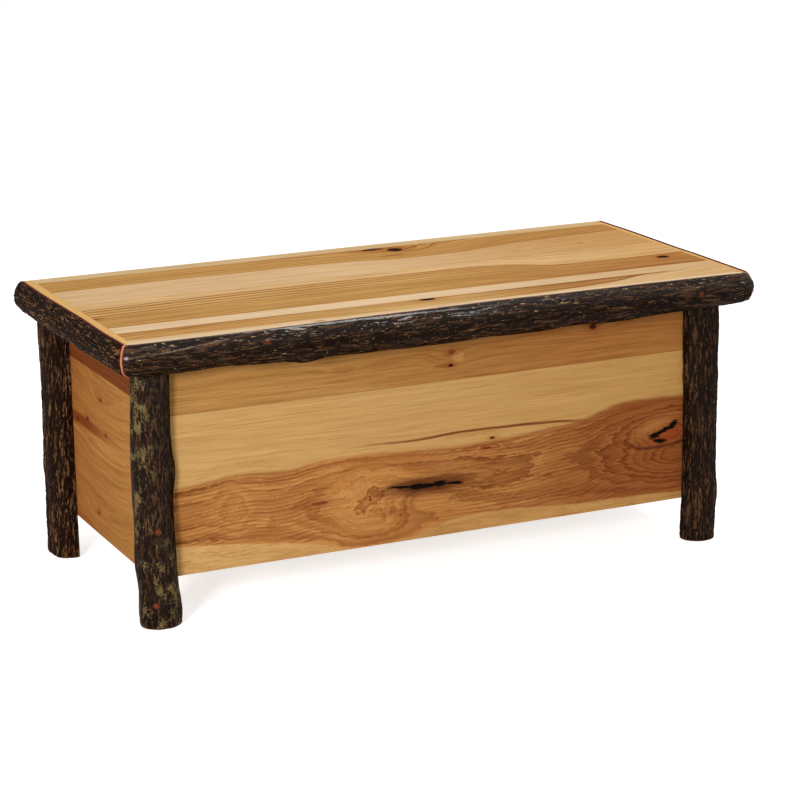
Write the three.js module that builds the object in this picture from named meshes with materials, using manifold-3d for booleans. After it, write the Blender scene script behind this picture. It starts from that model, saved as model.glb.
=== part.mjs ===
// A rustic blanket chest. Four bark-on logs are its posts, and boards between them form the case.
// The lid is a panel of five boards, framed on three sides by bark-on logs that are cut flat on top
// and mitred at the front corners. The lid turns on three butt hinges, and two slotted stays, which
// slide on studs inside the case, stop it a little past upright.
// Millimetres. X runs along the chest, -Y is its front and +Z is up. The origin is on the floor, at
// the middle of the footprint.

import * as THREE from "three";
import { mergeVertices } from "three/addons/utils/BufferGeometryUtils.js";
import Module from "manifold-3d";

const wasm = await Module();
wasm.setup();

const { abs, asin, atan2, cos, exp, hypot, max, PI, round, sin, sqrt } = Math;

// Driving sizes

const HEIGHT = 505; // floor to the flat of the lid
const LENGTH = 1186; // of the flat of the lid, between the bark lines of its end logs
const DEPTH = 554; // of the flat of the lid, from the front bark line to the back edge
const SEAT = 0.3; // between faces that are glued, screwed or seated together
const OVERRUN = 10; // how far a cutter runs past what it cuts
const OVERCUT = 0.7; // left proud by the sander at the lid's corners

const lid = {
  thickness: 21,
  backOverhang: 10, // past the back of the case
  rimGap: 0.6, // from the rim of the case to the underside of the closed lid
};

const lidLog = {
  radius: 33,
  axisDepth: 28, // from the flat of the lid down to the log's heart
  leftStrip: 20, // wood that the flat cut lays bare, between the bark and the boards
  rightStrip: 14,
  frontStrip: 22,
  cornerRound: 38, // the mitred corners are sanded to this radius in plan
};

const wall = {
  thickness: 20,
  endInset: 60, // from the bark line at the lid's end to the end of the case
  frontInset: 65,
  clearance: 80, // under the case
  lap: 10, // depth of the rabbets that take the end boards
  longUpper: 124, // height of the upper board of the front and of the back
  endUpper: 104, // the same at the ends
};

const post = {
  frontRadius: 34,
  backRadius: 37,
  frontHeart: { x: 6, y: 0.5 }, // from the corner of the case in to the log's heart
  backHeart: { x: -6, y: 30 },
  gap: 4, // from the tops of the posts up to the logs of the closed lid
  footRound: 4,
};

const floorBoard = { thickness: 12, count: 4, fitGap: 1 };
const cleat = { height: 32, width: 19, lift: 2 };
const batten = { thickness: 19, width: 60, endGap: 12 };

const hinge = {
  length: 76,
  leafWidth: 17,
  leaf: 1.8,
  leafGap: 0.4,
  knuckleRadius: 4,
  knuckles: 5,
  knuckleGap: 0.5,
  barrelGap: 0.4, // from the barrel to the wood in front of it and over it
  pinRadius: 2,
  pinPlay: 0.3,
  capRadius: 3.4,
  cap: 1.6,
};

const stay = {
  tipRoom: 85, // left under an arm that hangs straight down
  pivotDrop: 14, // from the hinge axis down to the pivot
  shutAngle: PI / 8, // between those two lines with the lid shut
  travel: (PI * 5) / 9, // of the lid
  arm: 2.5,
  armWidth: 17,
  sideGap: 0.8,
  slotPlay: 0.5,
  studRadius: 3,
  headRadius: 6.5,
  head: 1.8,
  plate: 2.5,
  plateRadius: 12,
  plateLength: 52,
  flange: 2.2,
  flangeLength: 46,
  foot: 24,
  rivetRadius: 2.5,
  rivetPlay: 0.3,
  rivetHeadRadius: 5,
  rivetHead: 1.4,
};

const LID_SEAM_SHARES = [0.152, 0.231, 0.575, 0.938]; // of the depth, from the front
const HINGE_SHARES = [-0.36, 0, 0.36]; // of the case's length
const BATTEN_SHARES = [-0.24, 0.24];

const LOG_SIDES = 32;
const RING_PITCH = 30;
const ARRIS_STEPS = 24;
const ROUND_SIDES = { barrel: 16, pin: 12, corner: 40, stay: 8 };

// The growth of each log, in shares. Taper is of its radius, over its length. Bow is how far its
// heart strays at mid-length, and lean how far its foot does, both of its radius in its own X and Y.
// A knot is its place along the log, its place round it in turns, and its rise over the radius. A
// swell adds how far it spreads along the log, and round it in turns.
const growthShares = {
  front_log: {
    taper: -0.03, bow: [0.11, 0.03], lean: [0, 0], phase: 0.13,
    knots: [[0.27, 0.93, 0.16], [0.52, 0.71, 0.1], [0.74, 0.86, 0.12], [0.93, 0.75, 0.1]],
    swells: [[0.12, 0, -0.13, 0.2, 0.13], [0.97, 0, -0.11, 0.1, 0.13], [0.15, 0.6, 0.1, 0.14, 0.07]],
  },
  left_log: {
    taper: 0.02, bow: [0.02, -0.03], lean: [0, 0], phase: 0.41,
    knots: [[0.36, 0.42, 0.08]],
    swells: [[0, 0.25, -0.13, 0.2, 0.13]],
  },
  right_log: {
    taper: 0.02, bow: [0.03, -0.02], lean: [0, 0], phase: 0.77,
    knots: [[0.3, 0.1, 0.1]],
    swells: [[0, 0.25, -0.11, 0.2, 0.13]],
  },
  front_left_post: {
    taper: -0.01, bow: [0, 0.02], lean: [0.12, 0.02], phase: 0.29,
    knots: [
      [0.61, 0.95, 0.15], [0.38, 0.71, 0.1], [0.24, 0.45, 0.08], [0.09, 0.64, 0.06],
      [0.06, 0.96, 0.12], [0.04, 0.5, 0.06],
    ],
  },
  front_right_post: {
    taper: -0.02, bow: [0.02, -0.02], lean: [-0.03, 0], phase: 0.63,
    knots: [[0.22, 0.9, 0.09], [0.93, 0.95, 0.07], [0.05, 0.45, 0.07]],
  },
  back_left_post: {
    taper: -0.04, bow: [0.04, 0], lean: [0.04, 0], phase: 0.07,
    knots: [[0.55, 0.55, 0.06], [0.38, 0.42, 0.06]],
  },
  back_right_post: {
    taper: -0.03, bow: [-0.03, 0], lean: [0, 0], phase: 0.91,
    knots: [[0.38, 0.02, 0.08]],
  },
};
const furrowShares = { coarse: 0.014, fine: 0.026 };
const knotSizeShares = { along: 0.9, round: 0.09 }; // of the radius, and of a turn
const backSection = { squareness: 2.8, depthShare: 1.2 }; // the back posts are nearly square

// Places that follow

const top = HEIGHT;
const underLid = top - lid.thickness;
const rim = underLid - lid.rimGap;
const lidFront = -DEPTH / 2;
const lidBack = DEPTH / 2;
const lidEnd = LENGTH / 2;
const caseEnd = lidEnd - wall.endInset;
const caseFront = lidFront + wall.frontInset;
const caseBack = lidBack - lid.backOverhang;
const longSeam = rim - wall.longUpper;
const endSeam = rim - wall.endUpper;
const floorBottom = wall.clearance + cleat.lift + cleat.height + SEAT;
const floorTop = floorBottom + floorBoard.thickness;
const insideEnd = caseEnd - wall.thickness;
const insideFront = caseFront + wall.thickness;
const insideBack = caseBack - wall.thickness;
const logInset = sqrt(lidLog.radius ** 2 - lidLog.axisDepth ** 2);
const logHeart = top - lidLog.axisDepth;
const bulge = lidLog.radius - logInset;
const postTop = logHeart - lidLog.radius - post.gap;
const axisY = caseBack + hinge.barrelGap + hinge.knuckleRadius;
const axisZ = rim + lid.rimGap / 2;
const lidBoards = {
  x: [-lidEnd + lidLog.leftStrip, lidEnd - lidLog.rightStrip],
  y: [lidFront + lidLog.frontStrip, lidBack],
};

// Finishes

const finish = (color, roughness, metalness = 0) => ({ color, roughness, metalness });
const finishes = {
  bark: finish(0x2b211a, 0.6),
  lidBoard: finish(0xdcb487, 0.35),
  darkBoard: finish(0xbe8c4b, 0.35),
  frontBoard: finish(0xc8a05f, 0.4),
  heartBoard: finish(0xb07a42, 0.4),
  endBoard: finish(0xb07a3c, 0.4),
  redBoard: finish(0x8c4b23, 0.4),
  plainBoard: finish(0xc9a673, 0.6),
  steel: finish(0x8d8a82, 0.4, 1),
};

// Solids

function solidOf(geometry) {
  const bare = geometry.index ? geometry : mergeVertices(geometry);
  bare.deleteAttribute("normal");
  bare.deleteAttribute("uv");
  const merged = mergeVertices(bare);
  const mesh = new wasm.Mesh({
    numProp: 3,
    vertProperties: new Float32Array(merged.attributes.position.array),
    triVerts: new Uint32Array(merged.index.array),
  });
  return new wasm.Manifold(mesh);
}

function meshOf(name, look, solid) {
  const { vertProperties, triVerts } = solid.getMesh();
  const indexed = new THREE.BufferGeometry();
  indexed.setAttribute("position", new THREE.BufferAttribute(vertProperties, 3));
  indexed.setIndex(new THREE.BufferAttribute(triVerts, 1));
  const geometry = indexed.toNonIndexed();
  geometry.computeVertexNormals();
  const mesh = new THREE.Mesh(geometry, new THREE.MeshStandardMaterial(look));
  mesh.name = name;
  return mesh;
}

// A box between two values on each axis.
function block([x0, x1], [y0, y1], [z0, z1]) {
  const geometry = new THREE.BoxGeometry(x1 - x0, y1 - y0, z1 - z0);
  geometry.translate((x0 + x1) / 2, (y0 + y1) / 2, (z0 + z1) / 2);
  return solidOf(geometry);
}

// A round bar along X.
function bar([x0, x1], y, z, radius, sides) {
  const geometry = new THREE.CylinderGeometry(radius, radius, x1 - x0, sides);
  geometry.rotateZ(PI / 2).translate((x0 + x1) / 2, y, z);
  return solidOf(geometry);
}

// A strip with round ends, square to X, from one place in Y and Z to another.
function strip([x0, x1], from, to, width) {
  const length = hypot(to.y - from.y, to.z - from.z);
  const shape = new THREE.Shape();
  shape.absarc(0, 0, width / 2, PI / 2, (PI * 3) / 2);
  shape.absarc(length, 0, width / 2, -PI / 2, PI / 2);
  const geometry = new THREE.ExtrudeGeometry(shape, {
    depth: x1 - x0,
    bevelEnabled: false,
    curveSegments: ROUND_SIDES.stay,
  });
  // The outline's X turns to Y, its Y to Z, and the thickness runs along X.
  geometry.rotateX(PI / 2).rotateZ(PI / 2);
  geometry.rotateX(atan2(to.z - from.z, to.y - from.y));
  geometry.translate(x0, from.y, from.z);
  return solidOf(geometry);
}

// Logs

function knotRise(knots, share, turn, length, radius) {
  let rise = 0;
  for (const [place, side, height] of knots) {
    const along = ((share - place) * length) / (radius * knotSizeShares.along);
    const apart = turn - side;
    const around = (apart - round(apart)) / knotSizeShares.round;
    rise += height * exp(-(along ** 2) - around ** 2);
  }
  return rise;
}

function swellRise(swells, share, turn) {
  let rise = 0;
  for (const [place, side, height, long, wide] of swells) {
    const apart = turn - side;
    const around = (apart - round(apart)) / wide;
    rise += height * exp(-(((share - place) / long) ** 2) - around ** 2);
  }
  return rise;
}

// A log along Z, from zero up to its length, with its heart on the Z axis at both ends. Its section
// is round, or nearly square where the squareness is over 2.
function logGeometry(name, length, radius, section = {}, footRound = 0) {
  const { squareness = 2, depthShare = 1 } = section;
  const { taper, bow, lean, phase, knots, swells = [] } = growthShares[name];
  const rings = max(2, round(length / RING_PITCH));
  const geometry = new THREE.CylinderGeometry(1, 1, 1, LOG_SIDES, rings);
  geometry.rotateX(PI / 2);
  const point = geometry.attributes.position;
  for (let i = 0; i < point.count; i += 1) {
    const ring = round((point.getZ(i) + 1 / 2) * rings);
    const share = ring === 1 && footRound ? footRound / length : ring / rings;
    const angle = atan2(point.getY(i), point.getX(i));
    const turn = angle / (2 * PI);
    const reach = round(hypot(point.getX(i), point.getY(i)));
    const square = abs(cos(angle)) ** squareness + abs(sin(angle)) ** squareness;
    let size = square ** (-1 / squareness) * (1 + taper * (share * 2 - 1));
    size += furrowShares.coarse * sin(3 * angle + 2 * PI * (phase + share));
    size += furrowShares.fine * sin(8 * angle + 5 * sin(3 * share + 2 * PI * phase));
    size += knotRise(knots, share, turn, length, radius) + swellRise(swells, share, turn);
    const onBark = reach * (size * radius - (ring === 0 ? footRound : 0));
    const strayX = radius * (bow[0] * sin(PI * share) + lean[0] * (1 - share) ** 4);
    const strayY = radius * (bow[1] * sin(PI * share) + lean[1] * (1 - share) ** 4);
    const y = onBark * sin(angle) * depthShare;
    point.setXYZ(i, onBark * cos(angle) + strayX, y + strayY, share * length);
  }
  return geometry;
}

// Half-space cutters at a front corner of the lid: one for each side of the mitre, and one for
// what the sander takes off its arris.
function mitreCutter(side, half) {
  const far = DEPTH;
  const geometry = new THREE.BoxGeometry(2 * far, far, HEIGHT);
  geometry.translate(0, half * (far - SEAT) / 2, logHeart);
  geometry.rotateZ((-side * PI) / 4).translate(side * lidEnd, lidFront, 0);
  return solidOf(geometry);
}

function arrisCutter(side) {
  const { radius, cornerRound } = lidLog;
  const centreX = side * (lidEnd + bulge - cornerRound);
  const centreY = lidFront - bulge + cornerRound;
  const reach = cornerRound + OVERRUN;
  const xs = [centreX, centreX + side * reach].sort((a, b) => a - b);
  const corner = block(xs, [centreY - reach, centreY], [logHeart - reach, top + OVERRUN]);
  // The corner keeps the section of the logs, turned about an upright axis.
  const section = radius + OVERCUT;
  const profile = Array.from({ length: ARRIS_STEPS + 1 }, (_, i) => {
    const angle = PI * (i / ARRIS_STEPS - 1 / 2);
    return new THREE.Vector2(cornerRound - radius + section * cos(angle), section * sin(angle));
  });
  profile.unshift(new THREE.Vector2(0, -section));
  profile.push(new THREE.Vector2(0, section));
  const geometry = new THREE.LatheGeometry(profile, ROUND_SIDES.corner);
  geometry.rotateX(PI / 2).translate(centreX, centreY, logHeart);
  return corner.subtract(solidOf(geometry));
}

const flatCutter = block(
  [-LENGTH, LENGTH],
  [-DEPTH, DEPTH],
  [top, top + lidLog.radius],
);

const boardCutter = block(
  [lidBoards.x[0] - SEAT, lidBoards.x[1] + SEAT],
  [lidBoards.y[0] - SEAT, DEPTH],
  [underLid - SEAT, top + lidLog.radius],
);

function frontLog() {
  const length = LENGTH + 2 * bulge;
  const geometry = logGeometry("front_log", length, lidLog.radius);
  geometry.rotateY(PI / 2).translate(-length / 2, lidFront + logInset, logHeart);
  let solid = solidOf(geometry).subtract(flatCutter).subtract(boardCutter);
  for (const side of [-1, 1]) {
    solid = solid.subtract(mitreCutter(side, 1)).subtract(arrisCutter(side));
  }
  return solid;
}

function endLog(name, side) {
  const length = DEPTH + bulge;
  const geometry = logGeometry(name, length, lidLog.radius);
  geometry.rotateX(-PI / 2).translate(side * (lidEnd - logInset), lidFront - bulge, logHeart);
  return solidOf(geometry)
    .subtract(flatCutter)
    .subtract(boardCutter)
    .subtract(mitreCutter(side, -1))
    .subtract(arrisCutter(side));
}

// The posts are notched to wrap the corners of the case, all the way down, and the back ones are
// sawn flat in line with the back.
function cornerPost(name, side, radius, heart, section) {
  const geometry = logGeometry(name, postTop, radius, section, post.footRound);
  geometry.translate(side * (caseEnd - heart.x), heart.y, 0);
  const notch = block(
    [-caseEnd - SEAT, caseEnd + SEAT],
    [caseFront - SEAT, caseBack + radius],
    [-OVERRUN, top],
  );
  const behind = block([-LENGTH, LENGTH], [caseBack, caseBack + 2 * radius], [-OVERRUN, top]);
  return solidOf(geometry).subtract(notch).subtract(behind);
}

// Case

function frontBoard(zs) {
  const board = block([-caseEnd, caseEnd], [caseFront, insideFront], zs);
  return cutLaps(board, [insideFront - wall.lap - SEAT, insideFront + OVERRUN]);
}

function backBoard(zs) {
  const board = block([-caseEnd, caseEnd], [insideBack, caseBack], zs);
  return cutLaps(board, [insideBack - OVERRUN, insideBack + wall.lap + SEAT]);
}

function cutLaps(board, ys) {
  let solid = board;
  for (const side of [-1, 1]) {
    const xs = [side * (insideEnd - SEAT), side * (caseEnd + OVERRUN)].sort((a, b) => a - b);
    solid = solid.subtract(block(xs, ys, [-OVERRUN, top]));
  }
  return solid;
}

function endBoard(side, zs) {
  const xs = [side * insideEnd, side * caseEnd].sort((a, b) => a - b);
  return block(xs, [insideFront - wall.lap, insideBack + wall.lap], zs);
}

function backUpperBoard() {
  let solid = backBoard([longSeam + SEAT, rim]);
  for (const x of hingePlaces) {
    solid = solid.subtract(mortise(x, [axisZ - hinge.leafGap / 2 - hinge.leaf - SEAT, top]));
  }
  return solid;
}

function floorBoards() {
  const { count, fitGap } = floorBoard;
  const y0 = insideFront + fitGap;
  const pitch = (insideBack - fitGap + SEAT - y0) / count;
  const ends = [-insideEnd + fitGap, insideEnd - fitGap];
  return Array.from({ length: count }, (_, i) => {
    const ys = [y0 + i * pitch, y0 + (i + 1) * pitch - SEAT];
    return block(ends, ys, [floorBottom, floorTop]);
  });
}

function cleats() {
  const zs = [wall.clearance + cleat.lift, wall.clearance + cleat.lift + cleat.height];
  const x = insideEnd - SEAT;
  const [front, back] = [insideFront + SEAT, insideBack - SEAT];
  const [frontEdge, backEdge] = [front + cleat.width, back - cleat.width];
  return {
    front_cleat: block([-x, x], [front, frontEdge], zs),
    back_cleat: block([-x, x], [backEdge, back], zs),
    left_cleat: block([-x, cleat.width - x], [frontEdge + SEAT, backEdge - SEAT], zs),
    right_cleat: block([x - cleat.width, x], [frontEdge + SEAT, backEdge - SEAT], zs),
  };
}

// Lid

function lidBoard(index) {
  const seams = [
    lidBoards.y[0],
    ...LID_SEAM_SHARES.map((share) => lidFront + share * DEPTH),
    lidBoards.y[1] + SEAT,
  ];
  const board = block(lidBoards.x, [seams[index], seams[index + 1] - SEAT], [underLid, top]);
  if (index < LID_SEAM_SHARES.length) {
    return board;
  }
  let solid = board;
  for (const x of hingePlaces) {
    solid = solid
      .subtract(mortise(x, [0, axisZ + hinge.leafGap / 2 + hinge.leaf + SEAT]))
      .subtract(barrelRoom(x));
  }
  return solid;
}

function lidBatten(x) {
  const zs = [underLid - SEAT - batten.thickness, underLid - SEAT];
  const half = batten.width / 2;
  return block([x - half, x + half], [insideFront + batten.endGap, insideBack - batten.endGap], zs);
}

// Hinges: a leaf lies in the rim of the case, and the other under the lid. Their knuckles take turns
// round one pin.

const hingePlaces = HINGE_SHARES.map((share) => share * 2 * caseEnd);
const leafFront = caseBack - hinge.leafWidth;

function mortise(x, zs) {
  const half = hinge.length / 2 + SEAT;
  return block([x - half, x + half], [leafFront - SEAT, lidBack + OVERRUN], zs);
}

function barrelRoom(x) {
  const half = hinge.length / 2 + hinge.cap + 2 * SEAT;
  const room = hinge.knuckleRadius + hinge.barrelGap;
  return block([x - half, x + half], [caseBack, lidBack + OVERRUN], [0, axisZ + room]);
}

// A leaf with every second knuckle: the even ones on the case, the odd ones on the lid.
function leaf(x, first, zs) {
  const start = x - hinge.length / 2;
  const pitch = (hinge.length + hinge.knuckleGap) / hinge.knuckles;
  let solid = block([start, start + hinge.length], [leafFront, caseBack], zs);
  for (let i = first; i < hinge.knuckles; i += 2) {
    const xs = [start + i * pitch, start + (i + 1) * pitch - hinge.knuckleGap];
    solid = solid
      .add(block(xs, [leafFront, axisY], zs))
      .add(bar(xs, axisY, axisZ, hinge.knuckleRadius, ROUND_SIDES.barrel));
  }
  const bore = hinge.pinRadius + hinge.pinPlay;
  const ends = [start - OVERRUN, start + hinge.length + OVERRUN];
  return solid.subtract(bar(ends, axisY, axisZ, bore, ROUND_SIDES.pin));
}

function caseLeaf(x) {
  const z1 = axisZ - hinge.leafGap / 2;
  return leaf(x, 0, [z1 - hinge.leaf, z1]);
}

function lidLeaf(x) {
  const z0 = axisZ + hinge.leafGap / 2;
  return leaf(x, 1, [z0, z0 + hinge.leaf]);
}

// The pin's two ends are rounded caps over the end knuckles.
function hingePin(x) {
  const half = hinge.length / 2 + SEAT;
  const profile = [
    new THREE.Vector2(0, -half - hinge.cap),
    new THREE.Vector2(hinge.pinRadius, -half - hinge.cap),
    new THREE.Vector2(hinge.capRadius, -half - hinge.cap / 2),
    new THREE.Vector2(hinge.capRadius, -half),
    new THREE.Vector2(hinge.pinRadius, -half),
    new THREE.Vector2(hinge.pinRadius, half),
    new THREE.Vector2(hinge.capRadius, half),
    new THREE.Vector2(hinge.capRadius, half + hinge.cap / 2),
    new THREE.Vector2(hinge.pinRadius, half + hinge.cap),
    new THREE.Vector2(0, half + hinge.cap),
  ];
  const geometry = new THREE.LatheGeometry(profile, ROUND_SIDES.pin);
  geometry.rotateZ(PI / 2).translate(x, axisY, axisZ);
  return solidOf(geometry);
}

// Stays: hinge axis, pivot and stud make a triangle with two equal sides, so an arm turns half as
// far as the lid does while its slot slides along the stud.

const openShare = 2 * sin((stay.shutAngle + stay.travel) / 2); // of the reach, from pivot to stud
const reach = (rim - floorTop - stay.tipRoom) / openShare; // from the hinge axis to pivot and to stud
const pivotAngle = asin(stay.pivotDrop / reach);
const fromAxis = (angle) => ({
  y: axisY - reach * cos(angle),
  z: axisZ - reach * sin(angle),
});
const pivot = fromAxis(pivotAngle);
const stud = fromAxis(pivotAngle + stay.shutAngle);
const shut = 2 * reach * sin(stay.shutAngle / 2);
const open = reach * openShare;
const along = (distance) => ({
  y: pivot.y + ((stud.y - pivot.y) * distance) / shut,
  z: pivot.z + ((stud.z - pivot.z) * distance) / shut,
});

// The layers of a stay, as distances from the inner face of the end board.
const plateLayer = [SEAT, SEAT + stay.plate];
const armLayer = [plateLayer[1] + stay.sideGap, plateLayer[1] + stay.sideGap + stay.arm];
const flangeLayer = [armLayer[1] + stay.sideGap, armLayer[1] + stay.sideGap + stay.flange];

const layer = (side, [near, far]) =>
  [side * (insideEnd - near), side * (insideEnd - far)].sort((a, b) => a - b);

function stayPlate(side) {
  const half = stay.plateLength / 2;
  const ends = [{ y: stud.y - half, z: stud.z }, { y: stud.y + half, z: stud.z }];
  const headLayer = [armLayer[1] + stay.sideGap, armLayer[1] + stay.sideGap + stay.head];
  const stem = layer(side, [plateLayer[0] + stay.plate / 2, headLayer[0] + stay.head / 2]);
  return strip(layer(side, plateLayer), ends[0], ends[1], 2 * stay.plateRadius)
    .add(bar(stem, stud.y, stud.z, stay.studRadius, ROUND_SIDES.pin))
    .add(bar(layer(side, headLayer), stud.y, stud.z, stay.headRadius, ROUND_SIDES.barrel));
}

function stayArm(side) {
  const slotWidth = 2 * (stay.studRadius + stay.slotPlay);
  const overrun = [armLayer[0] - stay.sideGap, armLayer[1] + stay.sideGap];
  const bore = stay.rivetRadius + stay.rivetPlay;
  return strip(layer(side, armLayer), pivot, along(open + slotWidth), stay.armWidth)
    .subtract(strip(layer(side, overrun), stud, along(open), slotWidth))
    .subtract(bar(layer(side, overrun), pivot.y, pivot.z, bore, ROUND_SIDES.pin));
}

function stayBracket(side) {
  const half = stay.flangeLength / 2;
  const ys = [pivot.y - half, pivot.y + half];
  const footTop = underLid - SEAT;
  const footLayer = [flangeLayer[0], flangeLayer[0] + stay.foot];
  const root = { y: pivot.y, z: footTop - stay.armWidth / 2 };
  const ear = strip(layer(side, flangeLayer), pivot, root, stay.armWidth);
  const bore = stay.rivetRadius + SEAT;
  const overrun = [flangeLayer[0] - OVERRUN, flangeLayer[1] + OVERRUN];
  return block(layer(side, footLayer), ys, [footTop - stay.flange, footTop])
    .add(ear)
    .subtract(bar(layer(side, overrun), pivot.y, pivot.z, bore, ROUND_SIDES.pin));
}

function stayRivet(side) {
  const outer = armLayer[0] - SEAT;
  const inner = flangeLayer[1] + SEAT;
  const head = (near, far) =>
    bar(layer(side, [near, far]), pivot.y, pivot.z, stay.rivetHeadRadius, ROUND_SIDES.barrel);
  return bar(layer(side, [outer, inner]), pivot.y, pivot.z, stay.rivetRadius, ROUND_SIDES.pin)
    .add(head(outer - stay.rivetHead, outer))
    .add(head(inner, inner + stay.rivetHead));
}

// Assembly

const chestCase = new THREE.Group();
const chestLid = new THREE.Group();
const put = (group, name, look, solid) => group.add(meshOf(name, finishes[look], solid));

const frontHeart = { x: post.frontHeart.x, y: caseFront + post.frontHeart.y };
const backHeart = { x: post.backHeart.x, y: caseBack - post.backHeart.y };
const ends = [["left", -1], ["right", 1]];

for (const [end, side] of ends) {
  const front = `front_${end}_post`;
  const back = `back_${end}_post`;
  put(chestCase, front, "bark", cornerPost(front, side, post.frontRadius, frontHeart));
  put(chestCase, back, "bark", cornerPost(back, side, post.backRadius, backHeart, backSection));
}

put(chestCase, "front_upper_board", "frontBoard", frontBoard([longSeam + SEAT, rim]));
put(chestCase, "front_lower_board", "heartBoard", frontBoard([wall.clearance, longSeam]));
put(chestCase, "back_upper_board", "plainBoard", backUpperBoard());
put(chestCase, "back_lower_board", "plainBoard", backBoard([wall.clearance, longSeam]));
for (const [end, side] of ends) {
  put(chestCase, `${end}_upper_board`, "redBoard", endBoard(side, [endSeam + SEAT, rim]));
  put(chestCase, `${end}_lower_board`, "endBoard", endBoard(side, [wall.clearance, endSeam]));
}
for (const [name, solid] of Object.entries(cleats())) {
  put(chestCase, name, "plainBoard", solid);
}
floorBoards().forEach((solid, i) => put(chestCase, `floor_board_${i + 1}`, "plainBoard", solid));

for (let i = 0; i <= LID_SEAM_SHARES.length; i += 1) {
  put(chestLid, `lid_board_${i + 1}`, i % 2 ? "lidBoard" : "darkBoard", lidBoard(i));
}
put(chestLid, "front_log", "bark", frontLog());
for (const [end, side] of ends) {
  put(chestLid, `${end}_log`, "bark", endLog(`${end}_log`, side));
}
BATTEN_SHARES.forEach((share, i) => {
  put(chestLid, `lid_batten_${ends[i][0]}`, "plainBoard", lidBatten(share * LENGTH));
});

hingePlaces.forEach((x, i) => {
  put(chestCase, `hinge_case_leaf_${i + 1}`, "steel", caseLeaf(x));
  put(chestCase, `hinge_pin_${i + 1}`, "steel", hingePin(x));
  put(chestLid, `hinge_lid_leaf_${i + 1}`, "steel", lidLeaf(x));
});

for (const [end, side] of ends) {
  put(chestCase, `${end}_stay_plate`, "steel", stayPlate(side));
  put(chestLid, `${end}_stay_arm`, "steel", stayArm(side));
  put(chestLid, `${end}_stay_bracket`, "steel", stayBracket(side));
  put(chestLid, `${end}_stay_rivet`, "steel", stayRivet(side));
}

const chest = new THREE.Group();
chest.add(chestCase, chestLid);

// The logs are uneven, so the middle of the footprint is measured.
const middle = new THREE.Box3().setFromObject(chest).getCenter(new THREE.Vector3());
chest.position.set(-middle.x, -middle.y, 0);

export default chest;
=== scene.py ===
import math
from dataclasses import dataclass

import bmesh
import bpy
import numpy as np
from bpy.props import FloatProperty, FloatVectorProperty, PointerProperty
from mathutils import Matrix, Vector


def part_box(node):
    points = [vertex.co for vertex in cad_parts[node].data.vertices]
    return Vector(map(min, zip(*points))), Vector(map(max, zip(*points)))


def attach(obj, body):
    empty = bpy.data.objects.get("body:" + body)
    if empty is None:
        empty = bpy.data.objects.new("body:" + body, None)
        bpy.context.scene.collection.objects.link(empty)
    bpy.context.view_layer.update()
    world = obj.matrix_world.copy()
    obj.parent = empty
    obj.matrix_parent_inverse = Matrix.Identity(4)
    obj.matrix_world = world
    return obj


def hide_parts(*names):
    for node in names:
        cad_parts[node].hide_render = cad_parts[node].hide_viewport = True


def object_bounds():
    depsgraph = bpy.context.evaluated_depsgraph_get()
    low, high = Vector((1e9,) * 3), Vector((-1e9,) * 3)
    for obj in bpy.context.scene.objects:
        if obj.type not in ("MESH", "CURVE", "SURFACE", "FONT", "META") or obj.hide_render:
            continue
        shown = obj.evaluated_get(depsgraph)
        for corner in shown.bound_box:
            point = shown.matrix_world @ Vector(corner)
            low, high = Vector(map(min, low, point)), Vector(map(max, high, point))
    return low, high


bl_info = {
    "name": "Log Blanket Chest",
    "version": (1, 0, 0),
    "blender": (4, 5, 0),
    "location": "View3D > Sidebar > Blanket Chest",
    "description": "Dresses a log blanket chest: bark-on logs, figured boards and hardware",
    "category": "Object",
}

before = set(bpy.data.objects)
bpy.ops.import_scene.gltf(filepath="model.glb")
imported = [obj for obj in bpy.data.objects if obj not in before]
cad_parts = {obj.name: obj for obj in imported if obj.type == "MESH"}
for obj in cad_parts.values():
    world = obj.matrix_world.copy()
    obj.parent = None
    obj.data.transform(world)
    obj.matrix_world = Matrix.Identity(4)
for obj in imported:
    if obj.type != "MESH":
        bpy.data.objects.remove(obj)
solid_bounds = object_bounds()

MM = 0.001


def of_frame(node):
    """The corners of a node's box, in millimetres."""
    low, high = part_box(node)
    return low / MM, high / MM


# Places taken from the frame, in millimetres

FRONT_LOW, FRONT_HIGH = of_frame("front_lower_board")
LID_LOW, LID_HIGH = of_frame("lid_board_1")
TOP = LID_HIGH.z
UNDER_LID = LID_LOW.z
LID_BACK = of_frame("lid_board_5")[1].y
CASE_FRONT = FRONT_LOW.y
CASE_LEFT = FRONT_LOW.x
CASE_RIGHT = FRONT_HIGH.x
CASE_BACK = of_frame("back_lower_board")[1].y
CASE_FOOT = FRONT_LOW.z
POST_TOP = of_frame("front_left_post")[1].z

# The lid's frame of logs. A bark line is where bark meets the flat of the lid.

LEFT_STRIP = 20.0
RIGHT_STRIP = 14.0
FRONT_STRIP = 22.0
LEFT_LINE = LID_LOW.x - LEFT_STRIP
RIGHT_LINE = LID_HIGH.x + RIGHT_STRIP
FRONT_LINE = LID_LOW.y - FRONT_STRIP
LID_LOG_RADIUS = 33.0
FLAT_HEIGHT = 28.0  # of the flat over the log's heart
LOG_INSET = math.sqrt(LID_LOG_RADIUS ** 2 - FLAT_HEIGHT ** 2)
BULGE = LID_LOG_RADIUS - LOG_INSET
LOG_HEART = TOP - FLAT_HEIGHT
REBATE_FLOOR = UNDER_LID - LOG_HEART  # over the heart
SEAT = 0.3
MITRE_GAP = 0.15
OVERCUT = 0.7  # left proud by the sander at the lid's corners
CORNER_ROUND = 38.0
CORNER_REACH = CORNER_ROUND - BULGE  # from a bark line to the middle of the corner's round

# Camera

CAMERA_PLACE = Vector((-1.8765, -4.1282, 1.4869))
CAMERA_AZIMUTH = math.radians(-24.6766)
CAMERA_ELEVATION = math.radians(14.9209)
CAMERA_ROLL = math.radians(-0.766)
CAMERA_LENS = 116.617
CAMERA_SENSOR = 36.0


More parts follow.
